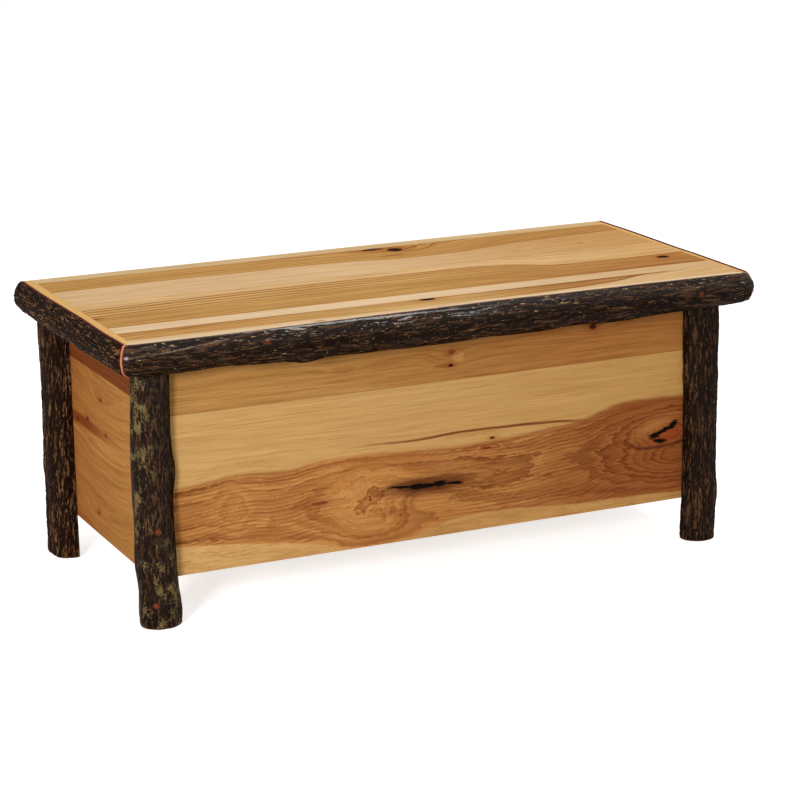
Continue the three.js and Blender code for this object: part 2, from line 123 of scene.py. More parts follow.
def shown(*screen):
    """A colour as a screen shows it, made the linear one that a shader takes."""
    shares = (value / 255 for value in screen)
    linear = (share / 12.92 if share <= 0.04045 else ((share + 0.055) / 1.055) ** 2.4
              for share in shares)
    return (*linear, 1.0)


# Settings


class ChestBarkSettings(bpy.types.PropertyGroup):
    ridge_depth: FloatProperty(
        name="Ridge Depth", description="Scale of the depth of the bark's ridges",
        default=1.0, min=0.0, max=1.5, subtype="FACTOR")
    ridge_color: FloatVectorProperty(
        name="Ridges", description="Colour of the tops of the bark's ridges",
        default=shown(58, 40, 27)[:3], size=3, subtype="COLOR", min=0, max=1)
    furrow_color: FloatVectorProperty(
        name="Furrows", description="Colour deep in the bark",
        default=shown(16, 8, 4)[:3], size=3, subtype="COLOR", min=0, max=1)
    inner_color: FloatVectorProperty(
        name="Inner Bark", description="Colour of the inner bark that shows at a cut",
        default=shown(92, 28, 17)[:3], size=3, subtype="COLOR", min=0, max=1)


class ChestWoodSettings(bpy.types.PropertyGroup):
    gloss: FloatProperty(
        name="Lacquer", description="Strength of the lacquer's coat",
        default=0.03, min=0.0, max=1.0, subtype="FACTOR")
    figure: FloatProperty(
        name="Figure", description="Contrast of the growth rings",
        default=1.0, min=0.0, max=2.0, subtype="FACTOR")


class ChestStageSettings(bpy.types.PropertyGroup):
    floor_width: FloatProperty(
        name="Floor Width", description="Width of the studio floor",
        default=14.0, min=4.0, unit="LENGTH")
    key_power: FloatProperty(
        name="Key Light", description="Power of the large lamp over the front left",
        default=157.0, min=0.0, unit="POWER")
    top_power: FloatProperty(
        name="Top Light", description="Power of the lamp over the back of the lid",
        default=52.0, min=0.0, unit="POWER")
    sky_strength: FloatProperty(
        name="Sky", description="Strength of the plain light from all around",
        default=0.4, min=0.0, max=2.0)


# Shader graphs


def math_method(operation, turned=False):
    """A method that adds a Math node. Turned, it takes its values in the other order."""
    def method(self, *others):
        values = (*others, self) if turned else (self, *others)
        return self.graph.math(operation, *values)
    return method


class Wire:
    """A value in a shader graph. Arithmetic on it adds Math nodes."""

    def __init__(self, graph, socket):
        self.graph = graph
        self.socket = socket

    __add__, __radd__ = math_method("ADD"), math_method("ADD", turned=True)
    __sub__, __rsub__ = math_method("SUBTRACT"), math_method("SUBTRACT", turned=True)
    __mul__, __rmul__ = math_method("MULTIPLY"), math_method("MULTIPLY", turned=True)
    __truediv__, __pow__ = math_method("DIVIDE"), math_method("POWER")
    highest, lowest = math_method("MAXIMUM"), math_method("MINIMUM")
    fraction, size = math_method("FRACT"), math_method("ABSOLUTE")
    root, exponential = math_method("SQRT"), math_method("EXPONENT")

    def clipped(self):
        return self.highest(0.0).lowest(1.0)

    def rise(self, low, high):
        """A smooth step from 0 at low to 1 at high; low may be over high."""
        ends = {"Value": self, "From Min": low, "From Max": high}
        node = self.graph.node("ShaderNodeMapRange", {"interpolation_type": "SMOOTHSTEP"}, ends)
        return Wire(self.graph, node.outputs["Result"])

    def between(self, low, first, last, high):
        """1 from first to last, fading out to 0 at low and high."""
        return self.rise(low, first) * self.rise(high, last)


class Graph:
    """The node tree of a material or of the world."""

    def __init__(self, owner):
        self.owner = owner
        owner.use_nodes = True
        self.tree = owner.node_tree
        self.tree.nodes.clear()
        self.color = None

    def node(self, kind, settings=None, values=None):
        node = self.tree.nodes.new(kind)
        for key, value in (settings or {}).items():
            setattr(node, key, value)
        for key, value in (values or {}).items():
            if isinstance(value, Wire):
                self.tree.links.new(value.socket, node.inputs[key])
            elif isinstance(value, bpy.types.NodeSocket):
                self.tree.links.new(value, node.inputs[key])
            else:
                node.inputs[key].default_value = value
        return node

    def math(self, operation, *values):
        node = self.node("ShaderNodeMath", {"operation": operation}, dict(enumerate(values)))
        return Wire(self, node.outputs[0])

    def place(self):
        """The place on the object in millimetres, as three values."""
        coordinates = self.node("ShaderNodeTexCoord")
        split = self.node("ShaderNodeSeparateXYZ", None, {0: coordinates.outputs["Object"]})
        return [Wire(self, split.outputs[axis]) / MM for axis in "XYZ"]

    def attribute(self, name):
        node = self.node("ShaderNodeAttribute", {"attribute_name": name})
        return Wire(self, node.outputs["Fac"])

    def noise(self, x, y, z, detail=2.0, roughness=0.5):
        place = self.node("ShaderNodeCombineXYZ", None, {0: x, 1: y, 2: z}).outputs[0]
        node = self.node("ShaderNodeTexNoise", None, {
            "Vector": place, "Scale": 1.0, "Detail": detail, "Roughness": roughness})
        return Wire(self, node.outputs["Fac"])

    def rays(self, *kinds):
        """1 for a ray of one of these kinds, and 0 for any other."""
        path = self.node("ShaderNodeLightPath")
        share = Wire(self, path.outputs[f"Is {kinds[0]} Ray"])
        for kind in kinds[1:]:
            share = share.highest(path.outputs[f"Is {kind} Ray"])
        return share

    def curve(self, value, points):
        """A smooth curve through points (place, height)."""
        low, high = points[0][0], points[-1][0]
        bottom = min(y for _, y in points)
        top = max(max(y for _, y in points), bottom + 1)
        share = (value - low) / (high - low)
        node = self.node("ShaderNodeFloatCurve", None, {"Value": share.clipped()})
        line = node.mapping.curves[0]
        while len(line.points) < len(points):
            line.points.new(0.5, 0.5)
        for point, (x, y) in zip(line.points, points):
            point.location = ((x - low) / (high - low), (y - bottom) / (top - bottom))
        node.mapping.update()
        return Wire(self, node.outputs["Value"]) * (top - bottom) + bottom

    def blend(self, factor, first, second, mode="MIX"):
        settings = {"data_type": "RGBA", "blend_type": mode}
        node = self.node("ShaderNodeMix", settings, {0: factor, 6: first, 7: second})
        return Wire(self, node.outputs[2])

    def paint(self, share, over):
        """Lays another colour over that share of the colour."""
        self.color = self.blend(share, self.color, over)

    def bump(self, height, distance, strength):
        values = {"Height": height, "Distance": distance, "Strength": strength}
        return self.node("ShaderNodeBump", None, values).outputs["Normal"]

    def surface(self, values):
        shader = self.node("ShaderNodeBsdfPrincipled", None, values)
        self.node("ShaderNodeOutputMaterial", None, {"Surface": shader.outputs[0]})
        return self.owner


# Wood

KNOT = shown(40, 20, 12)
CRACK = shown(14, 9, 7)
FIBRE_DARK = (0.58, 0.44, 0.30, 1)
FIBRE_BRIGHT = (1.22, 1.26, 1.36, 1)


def hill(along, across, place, slope=0):
    """A smooth hill, 1 at its top: its place along and across, and its half length and width."""
    x, y, long, wide = place
    east = (along - x) / long
    north = (across - y - (along - x) * slope) / wide if slope else (across - y) / wide
    return ((east * east + north * north) * -1).exponential()


class Board:
    """The wood of one board: along runs with the grain, across over it, through into it.

    Its growth rings are level lines. They run with the grain, follow a boundary if one is given,
    and close round hills. Its colour is built up by painting over it."""

    def __init__(self, name, face, seed, pitch, wander=1, edge=None, hills=()):
        graph = Graph(bpy.data.materials.new(name))
        self.graph = graph
        self.paint = graph.paint
        axes, along_start, across_start = face
        place = dict(zip("XYZ", graph.place()))
        self.along = place[axes[0]] - along_start
        self.across = place[axes[1]] - across_start
        self.through = place[axes[2]]
        self.seed = seed
        self.pits = None  # 1 where the surface is open
        self.edge = graph.curve(self.along, edge) if edge else None
        level = self.across - self.edge if edge else self.across
        level = level / pitch + self.noise(430, 90, 1) * (3 * wander)
        level = level + self.noise(110, 18, 2, 0.5, 3.1) * (0.9 * wander)
        for place, height in hills:
            level = level + self.hill(place) * height
        self.level = self.spaced(level, 1.6)

    def hill(self, place, slope=0):
        return hill(self.along, self.across, place, slope)

    def spaced(self, level, uneven):
        """Makes some rings wider than others."""
        return level + self.graph.noise(level * 0.55, self.seed, 0, 2) * uneven

    def noise(self, long, wide, detail=2, roughness=0.5, shift=0):
        """Noise whose grain is that long and wide, in millimetres."""
        return self.graph.noise(
            self.along / long + (self.seed * 7.31 + shift), self.across / wide,
            self.through / wide, detail, roughness)

    def streaks(self, long, count, detail=2, roughness=0.5, shift=0):
        """Noise that follows the rings, with so many streaks to a ring."""
        return self.graph.noise(
            self.along / long + (self.seed * 3.17 + shift), self.level * count,
            self.through / 20, detail, roughness)

    def rings(self, sharpness=2.2, level=None):
        """Growth rings: each darkens slowly and ends sharply. Some are darker than others."""
        level = self.level if level is None else level
        share = level.fraction()
        weight = self.graph.noise(level * 0.45, self.seed + 5, self.along / 900, 1)
        return (share ** sharpness) * share.rise(1, 0.88) * (weight.rise(0.3, 0.6) * 0.8 + 0.2)

    def above_edge(self, width, stray):
        """1 above the boundary and 0 below it, and how far off the boundary lies."""
        wave = (self.noise(90, 30, 3, 0.55, 8) - 0.5) * stray
        off = self.across - self.edge + wave
        return off.rise(-width, width), off

    def drift(self, color, start, end, over):
        """A colour that slowly turns into another along the board."""
        return self.graph.blend(self.along.rise(start, end), color, over)

    def knot(self, place, core=KNOT, halo=None, strength=1):
        """A knot: a dark core in a warmer halo."""
        x, y, long, wide = place
        if halo is not None:
            near = self.hill((x, y, long * 2.4, wide * 2.2))
            self.paint((near * (0.75 * strength)).clipped(), halo)
        rough = self.noise(long * 0.5, wide * 0.5, 2, 0.6, 23)
        heart = self.hill(place) + (rough - 0.5) * 0.5
        self.paint(heart.rise(0.28, 0.5) * strength, core)

    def finish(self, depth=1, gloss=0.34):
        """Puts fibres, pores and streaks over the colour, and closes the material."""
        graph = self.graph
        wood = bpy.context.scene.chest_wood
        depth = depth * wood.figure
        dark = graph.blend(1, graph.color, FIBRE_DARK, "MULTIPLY")
        bright = graph.blend(1, graph.color, FIBRE_BRIGHT, "MULTIPLY")
        streak = self.streaks(340, 0.9, 3, 0.6, 11)
        fine = self.streaks(140, 3.2, 3, 0.65, 5)
        fibre = self.noise(70, 2.2, 3, 0.65, 7)
        pore = self.noise(14, 0.8, 1, 0.5, 17).rise(0.60, 0.72)
        shade = (streak - 0.5).highest(0) * (1.3 * depth)
        shade = shade + (fine - 0.48).highest(0) * (1.9 * depth)
        shade = shade + (fibre - 0.48).highest(0) * (1.8 * depth) + pore * (0.16 * depth)
        light = ((0.48 - streak).highest(0) * 1.5 + (0.47 - fine).highest(0) * 1.5
                 + (0.47 - fibre).highest(0) * 1.2) * depth
        self.paint(light.clipped(), bright)
        self.paint(shade.clipped(), dark)
        height = fibre * 0.5 - pore * 0.5
        if self.pits is not None:
            height = height - self.pits * 6
        return graph.surface({
            "Base Color": graph.color,
            "Roughness": (fibre * 0.12 + pore * 0.15 + (gloss - 0.06)).clipped(),
            "Normal": graph.bump(height, 0.1 * MM, 0.6),
            "Specular IOR Level": 0,
            "Coat Weight": wood.gloss,
            "Coat Roughness": 0.3,
        })


# Shapes


def select_in_edit(piece, kind, test):
    """Enters edit mode with only those edges or faces selected that pass the test."""
    bpy.ops.object.mode_set(mode="EDIT")
    bpy.ops.mesh.select_mode(type=kind)
    bpy.ops.mesh.select_all(action="DESELECT")
    shape = bmesh.from_edit_mesh(piece.data)
    for part in shape.edges if kind == "EDGE" else shape.faces:
        part.select_set(test(part))
    bmesh.update_edit_mesh(piece.data)


# Logs


@dataclass
class Growth:
    """How one log grew: its shape in shares of its radius, and the pattern of its bark."""

    taper: float
    bow: tuple
    phase: float
    knots: tuple  # place along, place round in turns, rise
    ridge: tuple  # width across, length along and depth of the ridges, in millimetres
    swells: tuple = ()  # as the knots, and then the spread along and round
    scars: tuple = ()  # bare knots: place along, place round, half length and half width
    lean: tuple = (0, 0)
    seed: int = 1
    lumps: float = 0.3
    slant: float = 0  # how far the ridges cross each other
    squareness: float = 2
    depth_share: float = 1
    breaks: float = 0  # how much the ridges break up along their length


GROWTH = {
    "front_log": Growth(
        -0.03, (0.11, 0.03), 0.13, ridge=(4.4, 64, 1.3), seed=11, lumps=0.9, slant=0.05,
        knots=((0.27, 0.93, 0.16), (0.52, 0.71, 0.1), (0.74, 0.86, 0.12), (0.93, 0.75, 0.1)),
        swells=((0.12, 0, -0.13, 0.2, 0.13), (0.97, 0, -0.11, 0.1, 0.13),
                (0.15, 0.6, 0.1, 0.14, 0.07)),
        scars=((0.896, 0.735, 6, 8), (0.214, 0.69, 11, 6))),
    "left_log": Growth(
        0.02, (0.02, -0.03), 0.41, ridge=(3.9, 46, 2.4), seed=23, lumps=0.5, slant=0.07,
        knots=((0.36, 0.42, 0.08),), swells=((0, 0.25, -0.13, 0.2, 0.13),), breaks=0.4),
    "right_log": Growth(
        0.02, (0.03, -0.02), 0.77, ridge=(3.9, 46, 2.2), seed=31, lumps=0.5, slant=0.07,
        knots=((0.3, 0.1, 0.1),), swells=((0, 0.25, -0.11, 0.2, 0.13),), breaks=0.3),
    "front_left_post": Growth(
        -0.01, (0, 0.02), 0.29, ridge=(4, 36, 0.7), lean=(0.12, 0.02), seed=43, lumps=0.7,
        knots=((0.61, 0.95, 0.15), (0.38, 0.71, 0.1), (0.24, 0.45, 0.08), (0.09, 0.64, 0.06),
               (0.06, 0.96, 0.12), (0.04, 0.5, 0.06)),
        scars=((0.395, 0.722, 8, 6.5), (0.26, 0.46, 12, 7), (0.1, 0.68, 6, 7))),
    "front_right_post": Growth(
        -0.02, (0.02, -0.02), 0.63, ridge=(3.9, 50, 1.9), lean=(-0.03, 0), seed=53,
        swells=((0.96, 0.53, 0.15, 0.4, 0.09),),
        knots=((0.22, 0.9, 0.09), (0.93, 0.95, 0.07), (0.05, 0.45, 0.07))),
    "back_left_post": Growth(
        -0.04, (0.04, 0), 0.07, ridge=(3.7, 48, 2.1), lean=(0.04, 0), seed=61,
        squareness=2.8, depth_share=1.2, breaks=0.3,
        knots=((0.55, 0.55, 0.06), (0.38, 0.42, 0.06))),
    "back_right_post": Growth(
        -0.03, (-0.03, 0), 0.91, ridge=(3.7, 48, 2.1), seed=71,
        squareness=2.8, depth_share=1.2, breaks=0.3, knots=((0.38, 0.02, 0.08),)),
}
# From the corner of the case to a post's heart, along X and along Y, and the post's radius
FRONT_POST = (-6, 0.5, 34)
BACK_POST = (6, -30, 37)
FURROW = 0.014  # of the radius: the slow furrows that the solids have too
KNOT_LENGTH, KNOT_WIDTH = 0.9, 0.09  # of the radius, and of a turn
STEP_ALONG, STEP_ROUND = 2.2, 1.2  # between the points of a log
FOOT_ROUND = 4
RIDGE_GRAIN = 4.4  # widths of a grain of noise to one of a ridge
SANDED_REACH, SANDED_FADE = 6, 5  # beside the flat
CORE_INSET = 8  # from a sawn face in to the point that a log shrinks to
CORE_DROP = 4  # from the heart of an end log down to that point
DEEPEST_FURROW = 8
SMOOTH_ANGLE = math.radians(50)
FAR = 99  # from a mitre, for logs that have none


def grown_noise(rng, rows, columns, across, along):
    """Smooth noise that wraps round a log, of spread 1. Its grain is in grid steps."""
    white = rng.standard_normal((rows, columns))
    row = np.fft.fftfreq(rows)[:, None] * along
    column = np.fft.fftfreq(columns)[None, :] * across
    field = np.fft.ifft2(np.fft.fft2(white) * np.exp(-2 * np.pi ** 2 * (row ** 2 + column ** 2)))
    return field.real / field.real.std()


def read_grid(field, rows, columns):
    """Reads a wrapping grid between its points."""
    r0, c0 = np.floor(rows).astype(int), np.floor(columns).astype(int)
    dr, dc = rows - r0, columns - c0
    total = 0
    for r, wr in ((r0, 1 - dr), (r0 + 1, dr)):
        for c, wc in ((c0, 1 - dc), (c0 + 1, dc)):
            total = total + field[r % field.shape[0], c % field.shape[1]] * wr * wc
    return total


def furrows(field, width):
    """1 along the lines where the noise crosses zero."""
    return np.exp(-(field / width) ** 2)


def bark_relief(growth, rows, columns, step_along, step_round):
    """The height of the bark from 0 in its furrows to 1 on its ridges, and its slow lumps."""
    rng = np.random.default_rng(growth.seed)
    wide, long, _ = growth.ridge
    across = wide / step_round / RIDGE_GRAIN
    along = long / step_along / RIDGE_GRAIN

    def noise(wider, longer):
        return grown_noise(rng, rows, columns, across * wider, along * longer)

    row, column = np.mgrid[0:rows, 0:columns].astype(float)
    stray = noise(4.5, 1.3) * across * 1.8
    stray = stray + noise(1.6, 0.5) * across * 0.5
    relief = np.ones((rows, columns))
    for way, depth in ((-1, 0.8), (1, 1)):
        slide = way * growth.slant * row * step_along / step_round
        slanted = read_grid(noise(1, 1), row, column + stray + slide)
        relief *= 1 - depth * furrows(slanted, 0.42)
    fine = grown_noise(rng, rows, columns, max(across * 0.34, 0.8), along * 0.6)
    relief *= 1 - 0.45 * furrows(fine, 0.3)
    relief *= 1 - growth.breaks * furrows(noise(1.3, 0.22), 0.35)
    relief *= 0.78 + 0.22 * np.tanh(noise(1.5, 1))
    lumps = grown_noise(rng, rows, columns, 9 / step_round, 26 / step_along) * growth.lumps
    return np.clip(relief, 0, 1), lumps


class Log:
    """A log along Z, as a grid of points: rings along it and sides round it."""

    def __init__(self, name, length, radius, centre=(0, 0), foot=0, sanded=None):
        growth = GROWTH[name]
        self.name = name
        self.length = length
        self.centre = np.array(centre, float)
        self.rings = int(round(length / STEP_ALONG))
        self.sides = int(round(2 * math.pi * radius / STEP_ROUND / 4)) * 4
        ring, side = np.mgrid[0:self.rings + 1, 0:self.sides]
        self.share = ring / self.rings
        self.turn = side / self.sides
        angle = 2 * np.pi * self.turn
        square = abs(np.cos(angle)) ** growth.squareness + abs(np.sin(angle)) ** growth.squareness
        size = square ** (-1 / growth.squareness) * (1 + growth.taper * (self.share * 2 - 1))
        phase = 2 * np.pi * growth.phase
        size += FURROW * np.sin(3 * angle + 2 * np.pi * self.share + phase)
        size += FURROW * np.sin(8 * angle + 5 * np.sin(3 * self.share + phase))
        bare = size.copy()
        knots = [(*knot, KNOT_LENGTH * radius / length, KNOT_WIDTH) for knot in growth.knots]
        for place, side, rise, long, wide in (*knots, *growth.swells):
            size += rise * self.hump(place, side, long, wide)
        self.knot = np.zeros_like(self.share)
        for place, side, long, wide in growth.scars:
            scar = self.hump(place, side, long / length, wide / (2 * np.pi * radius))
            self.knot = np.maximum(self.knot, scar)
        around = 2 * math.pi * radius / self.sides
        self.relief, lumps = bark_relief(growth, self.rings + 1, self.sides,
                                         length / self.rings, around)
        depth = growth.ridge[2] * bpy.context.scene.chest_bark.ridge_depth
        if sanded:
            # The sander that cuts the flat also smooths the bark beside it.
            height = (sanded[0] * np.cos(angle) + sanded[1] * np.sin(angle)) * bare * radius
            fade = np.clip((height - FLAT_HEIGHT + SANDED_REACH) / SANDED_FADE, 0, 1)
            depth = depth * (1 - 0.85 * fade)
            lumps = lumps * (1 - 0.75 * fade)
        reach = size * radius + lumps - (1 - self.relief) * depth
        if foot:
            low = np.clip(1 - self.share * length / foot, 0, 1)
            reach -= foot * (1 - np.sqrt(1 - low ** 2))
        stray = np.sin(np.pi * self.share)
        lean = (1 - self.share) ** 4
        self.heart_x, self.heart_y = (radius * (bow * stray + leaning * lean)
                                      for bow, leaning in zip(growth.bow, growth.lean))
        self.x = reach * np.cos(angle) + self.heart_x
        self.y = reach * np.sin(angle) * growth.depth_share + self.heart_y
        self.cut = np.zeros_like(self.x)  # how far a point on a cut lies from the bark
        self.mitre = np.full_like(self.x, FAR)

    def hump(self, place, side, long, wide):
        """A smooth hump on the log: long in shares of its length, and wide in turns."""
        apart = self.turn - side
        apart -= np.round(apart)
        return np.exp(-((self.share - place) / long) ** 2 - (apart / wide) ** 2)

    def trim(self, *planes):
        """Cuts away what lies beyond all of the planes: each is (normal x, normal y, reach)."""
        beyond = [nx * self.x + ny * self.y - reach for nx, ny, reach in planes]
        core = [nx * self.centre[0] + ny * self.centre[1] - reach for nx, ny, reach in planes]
        over = np.minimum.reduce(beyond)
        gone = over > 0
        share = np.minimum.reduce([b / np.where(b > c, b - c, 1) for b, c in zip(beyond, core)])
        x = np.where(gone, self.x + share * (self.centre[0] - self.x), self.x)
        y = np.where(gone, self.y + share * (self.centre[1] - self.y), self.y)
        edge = np.zeros_like(gone)
        for way in (1, -1):
            last = np.roll(over, way, axis=1)
            turning = gone & (last < 0)
            part = over / np.where(turning, over - last, 1)
            x = np.where(turning, self.x + part * (np.roll(self.x, way, axis=1) - self.x), x)
            y = np.where(turning, self.y + part * (np.roll(self.y, way, axis=1) - self.y), y)
            edge |= turning
        for ring in range(len(x)):
            marks = np.flatnonzero(edge[ring])
            inside = np.flatnonzero(gone[ring] & ~edge[ring])
            if len(marks) and len(inside):
                far = np.hypot(x[ring, inside, None] - x[ring, marks],
                               y[ring, inside, None] - y[ring, marks]).min(axis=1)
                self.cut[ring, inside] = np.maximum(self.cut[ring, inside], far)
        self.x, self.y = x, y

    def build(self, along, place):
        """Makes the mesh. Along gives each point's place along the log, and place takes the
        log's own X, Y and length to the frame's."""
        bpy.ops.object.select_all(action="DESELECT")
        bpy.ops.mesh.primitive_cylinder_add(
            vertices=self.sides, radius=1, depth=self.length, end_fill_type="TRIFAN")
        piece = bpy.context.object
        piece.name = self.name + "_bark"
        piece.data.name = piece.name
        select_in_edit(piece, "EDGE", lambda edge: abs(
            edge.verts[0].co.z - edge.verts[1].co.z) > self.length / 2)
        bpy.ops.mesh.subdivide_edgering(number_cuts=self.rings - 1, interpolation="LINEAR")
        bpy.ops.object.mode_set(mode="OBJECT")
        count = len(piece.data.vertices)
        points = np.empty(count * 3, np.float32)
        piece.data.vertices.foreach_get("co", points)
        points = points.reshape(-1, 3).astype(float)
        middle = np.hypot(points[:, 0], points[:, 1]) < 0.5
        ring = np.rint((points[:, 2] / self.length + 0.5) * self.rings).astype(int)
        side = np.rint(np.arctan2(points[:, 1], points[:, 0]) / (2 * np.pi) * self.sides)
        side = side.astype(int) % self.sides
        x = np.where(middle, self.centre[0], self.x[ring, side])
        y = np.where(middle, self.centre[1], self.y[ring, side])
        heart = np.hypot(self.x - self.heart_x, self.y - self.heart_y).mean(axis=1)
        marks = {
            "relief": np.where(middle, 0.5, self.relief[ring, side]),
            "cut": np.where(middle, heart[ring], self.cut[ring, side]),
            "knot": np.where(middle, 0, self.knot[ring, side]),
            "mitre": np.where(middle, FAR, self.mitre[ring, side]),
        }
        z = along(x, y, ring / self.rings)
        frame_points = np.stack(place(x, y, z), axis=1) * MM
        frame_points = np.clip(frame_points, *(np.array(corner) for corner in solid_bounds))
        piece.data.vertices.foreach_set("co", frame_points.astype(np.float32).ravel())
        for name, values in marks.items():
            mark = piece.data.attributes.new(name, "FLOAT", "POINT")
            mark.data.foreach_set("value", values.astype(np.float32))
        piece.data.update()
        bpy.ops.object.shade_smooth_by_angle(angle=SMOOTH_ANGLE)
        return piece


def finish_log(piece, name, body, material):
    """Gives a log its bark and its body. It replaces the solid of its name."""
    piece.data.materials.clear()
    piece.data.materials.append(material)
    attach(piece, body)
    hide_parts(name)


def front_log():
    """The log along the front of the lid, mitred at both ends."""
    log = Log("front_log", RIGHT_LINE - LEFT_LINE + 2 * BULGE, LID_LOG_RADIUS, sanded=(-1, 0))
    heart_y = FRONT_LINE + LOG_INSET
    log.trim((-1, 0, FLAT_HEIGHT))
    log.trim((-1, 0, REBATE_FLOOR - SEAT), (0, 1, FRONT_STRIP - LOG_INSET - SEAT))

    def along(x, y, share):
        inward = y + heart_y - FRONT_LINE
        return (LEFT_LINE + inward + MITRE_GAP) * (1 - share) + (
            RIGHT_LINE - inward - MITRE_GAP) * share

    def place(x, y, z):
        fx, fy, fz = z, y + heart_y, LOG_HEART - x
        for side in (-1, 1):
            fx, fy = pulled_in(fx, fy, fz, side)
        return fx, fy, fz

    mark_mitre(log, along, place)
    return log.build(along, place)


def end_log(name, side):
    """A log along an end of the lid, mitred at its front and sawn square at its back."""
    line = LEFT_LINE if side < 0 else RIGHT_LINE
    strip = LEFT_STRIP if side < 0 else RIGHT_STRIP
    edge = strip - LOG_INSET - SEAT  # from the heart in to the boards
    log = Log(name, LID_BACK - FRONT_LINE + BULGE, LID_LOG_RADIUS,
              centre=(-side * min(edge - CORE_INSET, 0), CORE_DROP), sanded=(0, -1))
    heart_x = line - side * LOG_INSET
    log.trim((0, -1, FLAT_HEIGHT))
    log.trim((0, -1, REBATE_FLOOR - SEAT), (-side, 0, edge))

    def along(x, y, share):
        inward = (line - (x + heart_x)) * side
        return (FRONT_LINE + inward + MITRE_GAP) * (1 - share) + LID_BACK * share

    def place(x, y, z):
        fz = LOG_HEART - y
        fx, fy = pulled_in(x + heart_x, z, fz, side)
        return fx, fy, fz

    mark_mitre(log, along, place)
    return log.build(along, place)


def pulled_in(x, y, z, side):
    """Rounds a front corner of the lid: the section of the logs, turned about an upright axis."""
    middle_x = LEFT_LINE + CORNER_REACH if side < 0 else RIGHT_LINE - CORNER_REACH
    middle_y = FRONT_LINE + CORNER_REACH
    out_x, out_y = (x - middle_x) * side, middle_y - y
    far = np.hypot(out_x, out_y)
    section = LID_LOG_RADIUS + OVERCUT
    rise = np.clip(z - LOG_HEART, -section, section)
    reach = CORNER_ROUND - LID_LOG_RADIUS + np.sqrt(section ** 2 - rise ** 2)
    # Bark furrows stay as deep on the round as they are beside it.
    depth = np.clip(reach - np.maximum(out_x, out_y), 0, DEEPEST_FURROW)
    outside = (out_x > 0) & (out_y > 0) & (far > reach - depth)
    shrink = np.where(outside, (reach - depth) / np.maximum(far, 1e-6), 1)
    return middle_x + side * out_x * shrink, middle_y - out_y * shrink


def mark_mitre(log, along, place):
    """Marks how far each point near a rounded corner lies from the mitre."""
    x, y, _ = place(log.x, log.y, along(log.x, log.y, log.share))
    for line, side in ((LEFT_LINE, -1), (RIGHT_LINE, 1)):
        off = abs((line - x) * side - (y - FRONT_LINE)) / math.sqrt(2)
        log.mitre = np.minimum(log.mitre, off)


def corner_post(name):
    """A post, notched to wrap a corner of the case. The back ones are sawn flat behind."""
    side = -1 if "left" in name else 1
    in_front = "front" in name
    outward, on, radius = FRONT_POST if in_front else BACK_POST
    case_x = CASE_LEFT if side < 0 else CASE_RIGHT
    heart_x = case_x + side * outward
    heart_y = (CASE_FRONT if in_front else CASE_BACK) + on
    wall_x = (case_x + side * SEAT - heart_x) * -side
    wall_y = CASE_FRONT - SEAT - heart_y
    if in_front:
        centre = (-side * (wall_x - CORE_INSET), wall_y - CORE_INSET)
        log = Log(name, POST_TOP, radius, centre, FOOT_ROUND)
        log.trim((-side, 0, wall_x), (0, 1, wall_y))
    else:
        log = Log(name, POST_TOP, radius, (side * CORE_INSET, 0), FOOT_ROUND)
        log.trim((-side, 0, wall_x))
        log.trim((0, 1, CASE_BACK - heart_y))
    return log.build(
        lambda x, y, share: share * POST_TOP,
        lambda x, y, z: (x + heart_x, y + heart_y, z))


# Bark

FLECK = shown(150, 122, 84)
LICHEN_LEFT = CASE_LEFT + 4  # lichen grows to the left of this, and near the floor
UPPER_SIDE = (472, 497)  # heights between which lacquer settled on the front log
# X and Z of a painted highlight: the pale sheen along a curved ridge near the left end of the
# front log
CURVED_SHEEN_LINE = [(-600, 482), (-585, 486), (-516, 490), (-437, 496)]  # X and Z
SANDED_STRIP = (2.4, 1.6)  # how far from a mitre the bare wood fades out
INNER_STRIP = (4.8, 3.6)  # and the inner bark beside it


